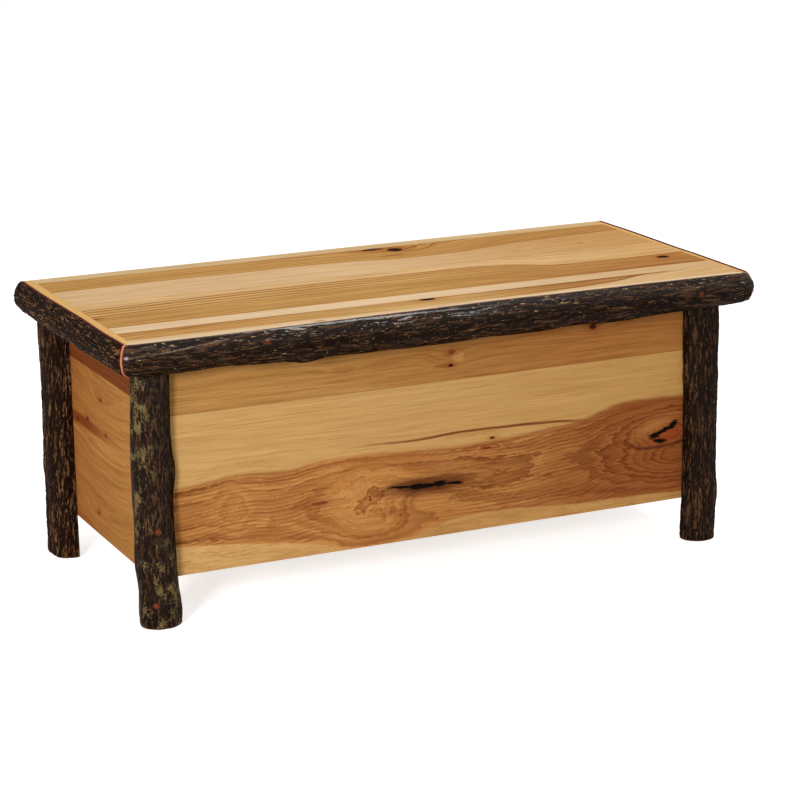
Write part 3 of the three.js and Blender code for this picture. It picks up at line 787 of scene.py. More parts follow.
def bark(name, grain, wood_tones, seed, flecks, lichen=0, knot_tone=None, warm=0.9,
         contrast=1, coat=0.06, rim=3.9):
    """Lacquered bark along one axis, with inner bark and bare wood where the log is cut."""
    settings = bpy.context.scene.chest_bark
    ridge_tone, furrow_tone, inner_tone = ((*tone, 1) for tone in (
        settings.ridge_color, settings.furrow_color, settings.inner_color))
    graph = Graph(bpy.data.materials.new(name))
    axes = dict(zip("XYZ", graph.place()))
    along = axes[grain]
    first, second = (axes[axis] for axis in "XYZ" if axis != grain)

    def noise(long, wide, detail=2, roughness=0.5, shift=0):
        return graph.noise(along / long + (seed * 3.7 + shift), first / wide, second / wide,
                           detail, roughness)

    relief, cut, mitre, knot = (
        graph.attribute(mark) for mark in ("relief", "cut", "mitre", "knot"))
    fine = noise(12, 1.5, 4, 0.65)
    rough = fine - 0.5
    scale = noise(9, 2.4, 2, 0.5, 9)
    flaky = scale - 0.5
    patch = noise(46, 20, 2, 0.5, 4)
    tops = (relief + rough * 0.8 + flaky * 0.5).rise(0.25, 0.95)
    graph.color = graph.blend(tops, furrow_tone, ridge_tone)
    brown = graph.blend(1, graph.color, (2.3, 1.45, 0.8, 1), "MULTIPLY")
    graph.paint((patch.rise(0.35, 0.65) * 0.6 + 0.4) * warm, brown)
    bleached = noise(60, 9, 2, 0.6, 27).rise(0.35, 0.65)
    worn = (relief + rough * 1.6).rise(0.45, 1) * (bleached * 0.5 + 0.5) * contrast
    graph.paint(worn.clipped(), shown(128, 98, 66))
    spark = (noise(7, 1.6, 2, 0.6, 19) + relief * 0.08).rise(0.69, 0.74) * flecks
    graph.paint(spark, FLECK)
    lacquer = coat
    if grain == "X":
        # The lacquer has settled on the upper side of the front log, where pale flecks show too.
        upper = second.rise(*UPPER_SIDE)
        lacquer = (upper * 0.85 + 0.15) * coat
        chips = (noise(13, 2.6, 2, 0.6, 37) + upper * 0.05).rise(0.7, 0.76)
        graph.paint(chips, shown(178, 150, 98))
        # Painted highlight: a pale sheen line along a curved ridge near the log's left end.
        path = graph.curve(along, CURVED_SHEEN_LINE)
        ridge = (second - path + flaky * 6).size().rise(1.5, 0.4)
        ridge = ridge * along.rise(-420, -445) * (patch.rise(0.35, 0.6) * 0.6 + 0.3)
        graph.paint(ridge * 0.7, shown(128, 112, 92))
    if lichen:
        blot = graph.noise(along / 24 + seed, first / 17, second / 17, 3, 0.6)
        grain_of = noise(3.6, 1.6, 3, 0.75, 31)
        crust = (blot + (grain_of - 0.5) * 0.7 + relief * 0.06).rise(0.56, 0.66)
        ragged = graph.noise(along / 1.6, first / 3.5, second / 3.5, 2, 0.6)
        crust = crust * (ragged.rise(0.66, 0.5) * 0.75 + 0.25)
        shaded = first.rise(LICHEN_LEFT, LICHEN_LEFT - 26).highest(along.rise(170, 120))
        crust = crust * (shaded * 0.8 + 0.2)
        graph.paint(crust * lichen, shown(122, 102, 64))
    if knot_tone is not None:
        ragged = rough * 0.9 + flaky * 0.7
        graph.paint((knot + ragged).rise(0.1, 0.4) * 0.7, furrow_tone)
        mottled = noise(4, 3, 2, 0.6, 47).rise(0.3, 0.6) * 0.6 + 0.4
        graph.paint((knot + ragged).rise(0.4, 0.8) * mottled, knot_tone)
    # Where the log is cut: inner bark, and then bare wood with its grain.
    inner = cut.rise(0.15, 0.9)
    bare = (cut + rough).rise(rim, rim + 1)
    if grain == "Z":
        foot = (along + rough * 2).rise(4, 1.5)
        graph.paint(foot * 0.7, shown(112, 52, 30))
    strip = (mitre + rough).rise(*SANDED_STRIP)
    inner = inner.highest((mitre + rough * 1.5).rise(*INNER_STRIP))
    bare = bare.highest(strip)
    line = noise(300, 2.6, 3, 0.6, 41)
    wood = graph.blend(line.rise(0.35, 0.7), *wood_tones)
    ring = ((cut + (line - 0.5) * 3) / 3.4).fraction()
    wood = graph.blend(ring * ring * 0.3, wood, shown(146, 98, 54))
    wood = graph.blend(strip * cut.rise(3, 1), wood, shown(176, 120, 86))
    if grain == "X":
        eye = hill(along, first, (LEFT_LINE + 352, FRONT_LINE + 14, 13, 4))
        wood = graph.blend((eye + rough * 0.6).rise(0.2, 0.8) * 0.8, wood, shown(142, 86, 42))
    graph.paint(inner, inner_tone)
    graph.paint(bare, wood)
    height = (fine * 0.8 + scale * 0.6) * (1 - inner) + fine * bare * 0.08
    return graph.surface({
        "Base Color": graph.color,
        "Roughness": ((1 - inner) * (0.5 - relief * 0.12 + rough * 0.3) + inner * 0.3).clipped(),
        "Normal": graph.bump(height, 0.9 * MM, 0.9),
        "Specular IOR Level": 0,
        "Coat Weight": (1 - bare) * lacquer + 0.02,
        "Coat Roughness": 0.18,
    })


# Boards

# The axes along, across and through the grain, and where a board's own millimetres start
LID_FACE = ("XYZ", LEFT_LINE, FRONT_LINE)
FRONT_FACE = ("XZY", CASE_LEFT, CASE_FOOT)
END_FACE = ("YZX", 0, CASE_FOOT)
CROSS_FACE = ("YXZ", 0, 0)

PALE = shown(222, 192, 154)
LIGHT = shown(214, 179, 134)
LID_TAN = shown(195, 150, 86)
LID_LINE = shown(138, 84, 38)
GOLD = shown(198, 154, 94)
UPPER_GOLD = shown(176, 127, 69)
INNER_LINE = shown(180, 136, 84)
SAP_LINE = shown(166, 112, 58)
HEART = shown(188, 130, 71)
HEART_BROWN = shown(146, 84, 42)
HEART_DARK = shown(110, 56, 25)
END_LINE = shown(140, 84, 38)
END_SHADOW_RED = shown(119, 63, 29)
RED_DARK = shown(84, 40, 20)
RED_HALO = shown(124, 60, 28)
ORANGE_HALO = shown(166, 100, 48)


def plain_board(name, face, seed, light, dark, pitch, figure, right=None, **finish):
    """A board of even colour with faint rings."""
    board = Board(name, face, seed, pitch)
    board.graph.color = light
    board.paint(board.noise(500, 60, 2, 0.5, 2).rise(0.35, 0.75) * 0.4, dark)
    # Painted shade: given a right colour, the board turns darker towards the right, where less
    # light falls on the lid.
    if right is not None:
        board.graph.color = board.drift(board.graph.color, 500, 1250, right)
    board.paint(board.rings() * figure, dark)
    return board.finish(**finish)


def lid_front_material():
    """A tan band that tapers off to the right, over a light front edge."""
    board = Board("lid_wood_1", LID_FACE, 1, 11, 0.6, [
        (0, 30), (400, 31), (760, 33), (900, 44), (1000, 74), (1060, 90), (1186, 104)])
    along, across = board.along, board.across
    above, off = board.above_edge(2, 4)
    # Painted shade: the light front edge turns darker towards the right, where less light falls.
    board.graph.color = board.drift(shown(217, 186, 142), 700, 1200, shown(204, 166, 114))
    board.paint(above, board.drift(shown(198, 150, 88), 100, 700, shown(208, 170, 108)))
    board.paint(board.rings(1.6) * (above * 0.7 + 0.08), LID_LINE)
    board.paint(above * along.rise(560, 860) * 0.8, SAP_LINE)
    under_seam = across.rise(70, 84) * along.rise(1075, 1040)
    board.paint(under_seam * (along.rise(500, 950) * 0.5 + 0.35), shown(124, 72, 34))
    rim = (off - 4).size().rise(9, 2) * along.rise(560, 900)
    board.paint(rim * along.rise(1090, 1040) * 0.6, shown(140, 86, 42))
    board.knot((580, 77, 16, 8), KNOT, ORANGE_HALO)
    board.knot((137, 71, 11, 3), shown(150, 92, 48), ORANGE_HALO, 0.6)
    return board.finish()


def lid_middle_material():
    """Tan below a wavy boundary with dark lines along it, and light above."""
    board = Board("lid_wood_3", LID_FACE, 3, 13, 0.6, [
        (0, 270), (130, 276), (280, 281), (420, 283), (600, 282), (736, 281), (800, 272),
        (868, 247), (925, 224), (1009, 220), (1186, 221)],
        [((1117, 192, 60, 16), 1.6), ((24, 201, 40, 12), 1.2)])
    along, across = board.along, board.across
    above, off = board.above_edge(1.6, 4)
    # Painted shade: both tones turn darker towards the right, where less light falls.
    board.graph.color = board.drift(LID_TAN, 500, 1200, shown(174, 122, 65))
    board.paint(above, board.drift(shown(213, 174, 122), 800, 1250, shown(206, 162, 106)))
    rings = board.rings(1.6)
    near = (1 - above) * off.rise(-78, -50) * (along.rise(1000, 250) * 0.8 + 0.2)
    board.paint(rings * (1 - above) * (1 - near) * 0.75, LID_LINE)
    board.paint(rings * above * 0.12, LID_TAN)
    board.paint((off + 2.5).size().rise(4, 1) * 0.55, LID_LINE)
    # Dark and pale lines follow the boundary, and fade along the board.
    wave = ((off / -18).fraction() - 0.5).size() * 2
    board.paint(wave.rise(0.4, 0.95) * near * 0.6, LID_LINE)
    board.paint(wave.rise(0.6, 0.1) * near * 0.7, shown(214, 174, 120))
    low = across.rise(150, 134) * along.rise(620, 1000)
    board.paint(low * 0.5, shown(150, 94, 46))
    board.knot((1117, 195, 13, 10), KNOT, ORANGE_HALO)
    board.knot((24, 201, 5, 5), shown(140, 74, 36), ORANGE_HALO, 0.8)
    return board.finish()


def lid_fourth_material():
    """Light, with a tan band along its back and dark knots in the band."""
    board = Board("lid_wood_4", LID_FACE, 4, 13, 0.6, [
        (0, 432), (440, 434), (560, 430), (640, 416), (700, 408), (760, 409), (860, 424),
        (983, 446), (1186, 459)],
        [((700, 500, 60, 26), 3.2), ((745, 478, 46, 34), 2.4)])
    along, across = board.along, board.across
    above, off = board.above_edge(1.6, 5)
    # Painted shade: both tones turn darker towards the right, where less light falls.
    board.graph.color = board.drift(LIGHT, 500, 1100, shown(196, 150, 94))
    board.paint(above, board.drift(shown(200, 154, 88), 500, 1100, shown(186, 136, 75)))
    rings = board.rings(1.6)
    board.paint(rings * (above * 0.75 + 0.07), LID_LINE)
    board.paint((off - 2).size().rise(4, 1) * 0.3, LID_LINE)
    board.paint(rings * board.hill((722, 476, 60, 26)) * 0.7, shown(120, 70, 34))
    board.knot((684, 444, 26, 7), HEART_BROWN, None, 0.6)
    for slope, middle in ((-0.085, 488), (0.03, 508)):
        line = (across - middle - (along - 500) * slope).size().rise(4.5, 1)
        line = line * along.between(340, 470, 640, 690)
        board.paint(line * 0.55, shown(132, 76, 36))
    for place in ((672, 508, 24, 9.5), (708, 489, 16, 15)):
        board.knot(place, KNOT, ORANGE_HALO)
    flick = (across - 488 - (along - 730) * 0.55).size().rise(4, 1)
    flick = flick * board.hill((755, 500, 36, 20))
    board.paint((flick * 1.6).clipped() * 0.85, shown(118, 66, 30))
    for place in ((905, 372, 12, 3), (950, 376, 8, 2.4), (1035, 376, 14, 2.6),
                  (1048, 381, 5, 4), (1135, 287, 8, 3)):
        board.knot(place, shown(156, 104, 56), None, 0.6)
    return board.finish(0.85)


def lid_materials():
    """The woods of the five boards of the lid, from its front to its back."""
    # The second and fifth boards take painted shade: darker towards the right.
    second = plain_board("lid_wood_2", LID_FACE, 2, PALE, shown(198, 160, 112), 14, 0.2,
                         shown(200, 164, 118), depth=0.7)
    fifth = plain_board("lid_wood_5", LID_FACE, 5, shown(214, 185, 140), shown(196, 160, 110),
                        12, 0.25, shown(205, 171, 124), depth=0.7)
    return lid_front_material(), second, lid_middle_material(), lid_fourth_material(), fifth


def front_upper_material():
    """The narrow upper board of the front, lighter along its foot, with a few knots."""
    board = Board("front_wood_upper", FRONT_FACE, 6, 11, 0.7, None, [
        ((558, 320, 42, 20), 1.4), ((355, 322, 60, 9), 1), ((839, 342, 40, 12), 1.2)])
    across = board.across
    board.graph.color = board.drift(shown(168, 123, 66), 150, 900, shown(158, 103, 52))
    board.paint(board.rings(1.6) * 0.45, shown(128, 74, 34))
    board.paint(across.rise(324, 300) * 0.45,
                board.drift(shown(182, 138, 80), 150, 900, shown(172, 118, 62)))
    low = across.rise(316, 290) * board.streaks(420, 0.8, 2, 0.5, 7).rise(0.42, 0.6)
    board.paint(low * 0.2, shown(140, 86, 40))
    for knot in (
            ((355, 322, 22, 7), HEART_BROWN, None, 0.45),
            ((572, 321, 12, 9), shown(196, 148, 90), None, 0.45),
            ((560, 330, 7, 4), shown(104, 50, 24), RED_HALO, 0.8),
            ((545, 307, 20, 4), shown(132, 72, 34), None, 0.6),
            ((558, 306, 4.4, 2.8), shown(48, 20, 12), RED_HALO),
            ((839, 344, 7, 5), shown(52, 24, 14), RED_HALO, 0.95)):
        board.knot(*knot)
    return board.finish()


def heart_rings(board, foot):
    """The lower front board's rings: level lines round a line of hearts, which come near the
    face at the eyes. Returns them and how deep the hearts lie."""
    graph, along, across = board.graph, board.along, board.across
    hearts = graph.curve(along, [
        (0, 102), (140, 106), (260, 90), (407, 80), (520, 90), (640, 100), (750, 108),
        (840, 104), (930, 104), (1066, 108)])
    sunk = graph.curve(along, [(0, 0.6), (265, 0.68), (690, 0.7), (755, 0.74), (1066, 0.62)])
    for place, spread, share in ((150, 26, 0.26), (392, 92, 0.66), (545, 110, 0.28),
                                 (890, 70, 0.2), (1010, 90, 0.72)):
        off = (along - place) / spread
        sunk = sunk * (1 - (off * off * -1).exponential() * share)
    over = (across - hearts) / (board.edge - hearts)
    apart = over.highest((hearts - across) / (hearts - foot))
    inside = apart.lowest(1)
    inside = inside * inside
    level = (inside + sunk * (1 - inside)).root() * 11
    for place, height in (((520, 98, 105, 13), -2.6), ((635, 152, 30, 9), -1.6),
                          ((985, 134, 56, 20), -3.6), ((1010, 82, 84, 20), -3),
                          ((306, 92, 40, 8), -1)):
        level = level + board.hill(place) * height
    ragged = board.noise(64, 11, 3, 0.6, 61) * 1.5 + board.noise(15, 6, 2, 0.6, 67) * 0.8
    level = level + ragged * (1 - (apart - 1).clipped() * 0.9)
    swirl = board.noise(30, 22, 2, 0.5, 81) - 0.5
    level = level + swirl * board.hill((380, 92, 66, 36)) * 6
    # The rings crowd together and stand up to the right of the largest eye.
    crowd = along.between(418, 500, 500, 700)
    level = level + crowd * board.hill((480, 72, 200, 32)) * 3.6
    # The sapwood's rings straighten out, away from the heartwood.
    straight = (across - board.edge).rise(0, 60)
    outside = across - board.edge * (1 - straight) - straight * 176
    return board.spaced(level + outside.highest(0) / 6, 0.8), sunk


def front_lower_material():
    """The wide lower board of the front: sapwood over heartwood whose rings close round eyes."""
    board = Board("front_wood_lower", FRONT_FACE, 7, 9.5, 0.9, [
        (0, 150), (60, 152), (105, 157), (172, 163), (228, 158), (297, 166), (352, 168),
        (430, 166), (500, 162), (560, 160), (600, 160), (640, 160), (700, 162), (759, 169),
        (814, 174), (862, 186), (917, 195), (1066, 196)])
    graph, along, across = board.graph, board.along, board.across
    foot = graph.curve(along, [
        (0, 54), (49, 51), (120, 44), (200, 34), (264, 26), (330, 12), (390, 0), (450, 2),
        (520, 16), (622, 30), (720, 26), (817, 20), (1012, 15), (1066, 14)])
    board.level, sunk = heart_rings(board, foot)
    above, off = board.above_edge(6, 8)

    # The heartwood
    board.graph.color = board.drift(HEART, 560, 980, HEART_BROWN)
    middle = along.between(560, 680, 760, 840)
    board.paint(middle * across.rise(60, 130) * 0.5, shown(184, 126, 68))
    slow = board.streaks(260, 0.5, 2, 0.5, 29)
    board.paint(slow.rise(0.5, 0.72) * 0.5, shown(150, 88, 44))
    board.paint(slow.rise(0.42, 0.25) * 0.6, shown(194, 138, 78))
    between = board.rings(1.6, off / 7 + board.noise(260, 40, 1) * 2) * sunk.rise(0.3, 0.6)
    board.paint(between * 0.8, HEART_DARK)
    board.paint(board.rings(1.4) * 1.2, HEART_DARK)
    line = graph.curve(along, [
        (870, 118), (901, 122), (933, 106), (975, 104), (1021, 108), (1066, 116)])
    thin = (across - line + (board.noise(40, 8, 2, 0.5, 13) - 0.5) * 5).size()
    board.paint(thin.rise(5, 1) * along.rise(870, 940) * 0.9, shown(88, 42, 22))
    burl = board.hill((440, 60, 60, 34)) * board.noise(14, 10, 2, 0.6, 71)
    board.paint(burl.rise(0.36, 0.6) * 0.6, shown(122, 68, 34))
    glow = board.hill((345, 92, 62, 26)) * board.noise(26, 12, 2, 0.6, 73)
    board.paint(glow.rise(0.3, 0.55) * 0.5, shown(200, 146, 86))

    # The sapwood above and below it
    sap = board.drift(shown(190, 149, 92), 400, 1050, shown(184, 141, 81))
    board.paint(above, graph.blend(board.rings(1.6) * 0.22, sap, SAP_LINE))
    wave = (board.noise(110, 20, 3, 0.55, 18) - 0.5) * 9
    low = board.drift(shown(202, 160, 100), 60, 420, shown(184, 138, 80))
    board.paint((across - foot + wave).rise(2.2, -2.2),
                graph.blend(board.rings(1.6, off / 7) * 0.3, low, shown(160, 106, 56)))
    rim = (off + 3).size().rise(6, 0.5) * (along.rise(450, 900) * 0.2 + 0.2)
    board.paint(rim, shown(128, 70, 34))

    # The thin red line that leaves the heartwood and returns to it
    line = graph.curve(along, [
        (300, 168), (372, 183), (483, 180), (586, 184), (676, 182), (759, 179), (814, 174),
        (880, 172), (1066, 172)])
    stretch = along.between(330, 520, 780, 850)
    thin = (across - line + (board.noise(60, 12, 2, 0.5, 3) - 0.5) * 3).size()
    board.paint(thin.rise(3.8, 0.8) * stretch * 0.9, shown(112, 52, 26))

    # The flame round the middle crack, and the orange eye at the right
    torn = board.noise(40, 6, 3, 0.6, 51) - 0.5
    flame = board.hill((516, 96, 92, 17)) + torn * 0.7
    board.paint(flame.rise(0.06, 0.75) * 0.9, RED_DARK)
    board.paint(board.hill((620, 104, 70, 14)) * 0.4, HEART_BROWN)
    board.paint(board.hill((968, 146, 40, 13), 0.3) * 0.5, shown(190, 130, 72))
    eye = board.hill((992, 124, 40, 15), 0.2) + torn * 0.35
    board.paint(eye.rise(0.3, 0.7) * 0.85, shown(146, 70, 32))
    hot = board.hill((998, 122, 24, 8), 0.25) + torn * 0.5
    board.paint(hot.rise(0.4, 0.9) * 0.4, shown(146, 60, 26))
    board.paint(board.hill((947, 190, 80, 6)) * 0.15, shown(140, 80, 40))

    # Open cracks
    torn = (board.noise(20, 2.4, 3, 0.65, 33) - 0.5) * 1.5
    crack = board.hill((491, 96, 24, 8), -0.05)
    for place, slope in (
            ((534, 95, 22, 7), 0), ((458, 99, 32, 3.6), -0.1), ((512, 95, 40, 5), -0.05),
            ((562, 93, 26, 3.6), -0.1), ((987, 134, 34, 6), 0.36), ((968, 126, 14, 8), 0.2),
            ((1006, 142, 12, 9), 0.5), ((980, 115, 18, 5.4), -0.15)):
        crack = crack.highest(board.hill(place, slope))
    board.pits = (crack + torn * 0.8).rise(0.4, 0.75)
    board.paint(board.pits, CRACK)
    board.knot((306, 91, 16, 3), shown(106, 54, 26), RED_HALO, 0.8)
    board.knot((638, 165, 5, 2.6), shown(96, 42, 20), ORANGE_HALO)
    board.knot((628, 148, 10, 2.4), shown(110, 56, 28), ORANGE_HALO)
    return board.finish(1.25 - above * 0.55)


def back_materials():
    """The woods of the narrow and the wide board of the back."""
    upper = plain_board("back_wood_upper", FRONT_FACE, 15, shown(184, 138, 78), UPPER_GOLD,
                        12, 0.5)
    board = Board("back_wood_lower", FRONT_FACE, 16, 13, 1, [
        (0, 96), (240, 110), (420, 150), (620, 128), (860, 92), (1066, 104)],
        [((410, 74, 90, 26), 2.6), ((790, 180, 60, 14), 1.4)])
    above, _ = board.above_edge(5, 8)
    board.graph.color = HEART
    board.paint(board.rings(1.4) * 0.8, HEART_DARK)
    board.paint(above, board.graph.blend(board.rings(1.6) * 0.35, GOLD, SAP_LINE))
    for place in ((790, 180, 8, 4), (250, 214, 6, 3)):
        board.knot(place, shown(84, 36, 18), RED_HALO)
    return upper, board.finish()


def end_materials(name, seed):
    """The woods of the narrow board, painted dark with the lid's shadow, and the wide board of
    one end.
    """
    board = Board(name + "_upper", END_FACE, seed, 8)
    slow = board.streaks(300, 0.6, 3, 0.6, 2)
    # Painted shadow: the narrow board is dark red with the shade that the lid's end log casts
    # down over it.
    board.graph.color = END_SHADOW_RED
    board.paint(slow.rise(0.5, 0.7) * 0.6, shown(136, 78, 40))
    board.paint(board.rings() * 0.4, RED_DARK)
    upper = board.finish()

    board = Board(name + "_lower", END_FACE, seed + 1, 15, 0.8, [
        (-200, 172), (-104, 165), (-19, 153), (60, 154), (151, 167), (217, 174), (280, 178)],
        [((42, 255, 50, 14), 1.4), ((150, 196, 70, 12), 1.6), ((78, 40, 60, 12), 1.2)])
    along, across = board.along, board.across
    board.graph.color = board.drift(shown(166, 108, 55), 200, -200, shown(174, 124, 64))
    board.paint(board.rings(1.6) * 0.5, END_LINE)
    slow = board.streaks(300, 0.5, 2, 0.5, 2)
    board.paint(slow.rise(0.46, 0.26) * 0.4, shown(190, 138, 76))
    streak = across.between(178, 186, 196, 206) * along.rise(-60, 130)
    rough = board.streaks(200, 2, 3, 0.6, 6)
    board.paint(streak * rough.rise(0.1, 0.45) * 0.9, shown(116, 50, 24))
    board.paint((across - board.edge).size().rise(3.6, 1) * 0.3, shown(204, 152, 90))
    for place in ((42, 255, 5, 3), (177, 189, 8, 4), (118, 203, 6, 4), (19, 197, 4, 2.6)):
        board.knot(place, shown(86, 40, 20), shown(130, 70, 34), 0.9)
    board.knot((78, 40, 6, 3), shown(104, 52, 26), shown(140, 80, 38), 0.8)
    return upper, board.finish()


def dress(node, material):
    """Gives a node of the frame its material."""
    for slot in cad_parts[node].material_slots:
        slot.material = material


# Hardware

LEAF_GAP = 0.4
PLATE = 2.5
FLANGE = 2.2
HINGE_SCREWS = ((-27, 6.0), (0, 11.0), (27, 6.0))  # from the middle and front of a leaf
STAY_SCREW_INSET = 12.0
BRACKET_SCREW_INSET, BRACKET_SCREW_SHIFT = 7.0, 2.0
BATTEN_SCREWS = (0.06, 0.35, 0.65, 0.94)  # shares of its length
SMALL_HEAD = (2.8, 0.12)  # radius and how proud it stands
LARGE_HEAD = (3.4, 0.5)
HEAD_SIDES = 28
CROSS_LONG, CROSS_WIDE = 1.1, 0.24  # of the head's radius


def steel(name, seed, with_recess_shade=False):
    """Brushed steel, a little worn. With recess shade, it has painted shade where the attribute
    recess_shade is 1.
    """
    graph = Graph(bpy.data.materials.new(name))
    x, y, z = graph.place()
    brushed = graph.noise(x / 9 + seed, y / 0.7, z / 0.7, 3.0, 0.6)
    worn = graph.noise(x / 14 + seed, y / 14, z / 14, 3.0, 0.6)
    color = graph.blend(worn.rise(0.4, 0.7), shown(150, 147, 138), shown(112, 106, 96))
    # Painted shade: the sunk cross of a screw head is painted dark.
    if with_recess_shade:
        color = graph.blend(graph.attribute("recess_shade").rise(0.2, 0.8), color, shown(26, 24, 22))
    return graph.surface({
        "Base Color": color, "Metallic": 1.0,
        "Roughness": (brushed * 0.25 + worn * 0.2 + 0.15).clipped(),
        "Normal": graph.bump(brushed, 0.03 * MM, 0.5),
    })


def screw_head(radius, proud):
    """A screw's head about the origin, its face upwards, with a cross sunk in it."""
    bpy.ops.object.select_all(action="DESELECT")
    bpy.ops.mesh.primitive_cylinder_add(vertices=HEAD_SIDES, radius=radius * MM, depth=MM,
                                        location=(0, 0, (proud * 0.4 - 0.5) * MM))
    head = bpy.context.object
    select_in_edit(head, "FACE", lambda face: face.normal.z > 0.9)
    bpy.ops.mesh.inset(thickness=radius * 0.22 * MM)
    bpy.ops.transform.translate(value=(0, 0, proud * 0.6 * MM))
    bpy.ops.object.mode_set(mode="OBJECT")
    for width, length in ((CROSS_WIDE, CROSS_LONG), (CROSS_LONG, CROSS_WIDE)):
        bpy.ops.mesh.primitive_cube_add(size=1.0)
        bar = bpy.context.object
        bar.scale = (width * radius * MM, length * radius * MM, 1.6 * proud * MM)
        bar.location = (0, 0, proud * MM)
        cut = head.modifiers.new("cross", "BOOLEAN")
        cut.operation = "DIFFERENCE"
        cut.solver = "EXACT"
        cut.object = bar
        bpy.context.view_layer.objects.active = head
        bpy.ops.object.modifier_apply(modifier="cross")
        bpy.data.objects.remove(bar)
    # Marks the points sunk in the cross, where shade is painted.
    recess_shade = head.data.attributes.new("recess_shade", "FLOAT", "POINT")
    for vertex, mark in zip(head.data.vertices, recess_shade.data):
        x, y, z = vertex.co / MM
        inner = math.hypot(x, y) < radius * 0.7
        mark.value = 1.0 if inner and 0 < z < proud * 0.9 else 0.0
    return head


def screws(name, head, places, body, material):
    """Copies of one screw head, each at its place and facing its way, as one piece."""
    copies = []
    for place, facing in places:
        copy = bpy.data.objects.new(name, head.data.copy())
        bpy.context.scene.collection.objects.link(copy)
        copy.location = Vector(place) * MM
        copy.rotation_euler = Vector(facing).to_track_quat("Z", "Y").to_euler()
        copies.append(copy)
    bpy.ops.object.select_all(action="DESELECT")
    for copy in copies:
        copy.select_set(True)
    bpy.context.view_layer.objects.active = copies[0]
    bpy.ops.object.transform_apply(location=True, rotation=True, scale=True)
    bpy.ops.object.join()
    piece = bpy.context.object
    piece.name = name
    piece.data.name = name
    piece.data.materials.clear()
    piece.data.materials.append(material)
    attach(piece, body)


def set_screws(material):
    """The screws of the hinges, the stays and the battens."""
    up, down = (0, 0, 1), (0, 0, -1)
    hinge_case, hinge_lid, stay_case, stay_lid, batten = [], [], [], [], []
    for index in (1, 2, 3):
        low, high = of_frame(f"hinge_case_leaf_{index}")
        pin_low, pin_high = of_frame(f"hinge_pin_{index}")
        axis = (pin_low.z + pin_high.z) / 2
        for x, y in HINGE_SCREWS:
            x, y = (low.x + high.x) / 2 + x, low.y + y
            hinge_case.append(((x, y, axis - LEAF_GAP / 2), up))
            hinge_lid.append(((x, y, axis + LEAF_GAP / 2), down))
    for end, side in (("left", -1), ("right", 1)):
        low, high = of_frame(end + "_stay_plate")
        face = (low.x + PLATE) if side < 0 else (high.x - PLATE)
        for y in (low.y + STAY_SCREW_INSET, high.y - STAY_SCREW_INSET):
            stay_case.append(((face, y, (low.z + high.z) / 2), (-side, 0, 0)))
        low, high = of_frame(end + "_stay_bracket")
        x = (low.x + high.x) / 2 - side * BRACKET_SCREW_SHIFT
        for y in (low.y + BRACKET_SCREW_INSET, high.y - BRACKET_SCREW_INSET):
            stay_lid.append(((x, y, high.z - FLANGE), down))
        low, high = of_frame("lid_batten_" + end)
        for share in BATTEN_SCREWS:
            y = low.y * (1 - share) + high.y * share
            batten.append((((low.x + high.x) / 2, y, low.z), down))
    small, large = screw_head(*SMALL_HEAD), screw_head(*LARGE_HEAD)
    screws("hinge_screws_case", small, hinge_case, "case", material)
    screws("hinge_screws_lid", small, hinge_lid, "lid", material)
    screws("stay_screws_case", large, stay_case, "case", material)
    screws("stay_screws_lid", large, stay_lid, "lid", material)
    screws("batten_screws", large, batten, "lid", material)
    for head in (small, large):
        bpy.data.objects.remove(head)


# Stage

WHITE = (1, 1, 1, 1)
FLOOR_TONES = ((0.86, 0.86, 0.86, 1), (0.9, 0.9, 0.9, 1))
FLOOR_PATCH = 900.0
FLOOR_GLOW = 0.7
LAMP_WIDTH = 0.9
LAMP_AIM = Vector((0, 0, 0.25))
KEY_PLACE = (-3.25, -3.25, 1.6)
TOP_PLACE = (0.9, -0.3, 3.4)


def build_floor(width):
    """A matte floor that keeps the shadow, and glows so that it is seen white."""
    bpy.ops.object.select_all(action="DESELECT")
    bpy.ops.mesh.primitive_grid_add(x_subdivisions=4, y_subdivisions=4, size=width)
    floor = bpy.context.object
    floor.name = "studio_floor"
    graph = Graph(bpy.data.materials.new("studio_floor"))
    x, y, _ = graph.place()
    tint = graph.blend(graph.noise(x / FLOOR_PATCH, y / FLOOR_PATCH, 0.0), *FLOOR_TONES)
    matte = graph.node("ShaderNodeBsdfDiffuse", None, {"Color": tint})
    glow = graph.node("ShaderNodeEmission", None, {"Color": WHITE, "Strength": FLOOR_GLOW})
    both = graph.node("ShaderNodeAddShader", None, {0: matte.outputs[0], 1: glow.outputs[0]})
    mix = graph.node("ShaderNodeMixShader", None, {
        0: graph.rays("Camera", "Glossy"), 1: matte.outputs[0], 2: both.outputs[0]})
    graph.node("ShaderNodeOutputMaterial", None, {"Surface": mix.outputs[0]})
    floor.data.materials.append(graph.owner)


def build_world(strength):
    """White where it is seen itself, and an even light on the object."""
    graph = Graph(bpy.data.worlds.new("studio"))
    sky, white = (graph.node("ShaderNodeBackground", None, {
        "Color": WHITE, "Strength": value}) for value in (strength, 1.0))
    mix = graph.node("ShaderNodeMixShader", None, {
        0: graph.rays("Camera", "Glossy", "Transmission"),
        1: sky.outputs[0], 2: white.outputs[0]})
    graph.node("ShaderNodeOutputWorld", None, {"Surface": mix.outputs[0]})
    bpy.context.scene.world = graph.owner


def build_lamp(name, place, power):
    """A square lamp that looks at the middle of the chest."""
    lamp = bpy.data.objects.new(name, bpy.data.lights.new(name, "AREA"))
    lamp.data.shape = "SQUARE"
    lamp.data.size = LAMP_WIDTH
    lamp.data.energy = power
    lamp.location = place
    lamp.rotation_euler = (LAMP_AIM - Vector(place)).to_track_quat("-Z", "Y").to_euler()
    bpy.context.scene.collection.objects.link(lamp)


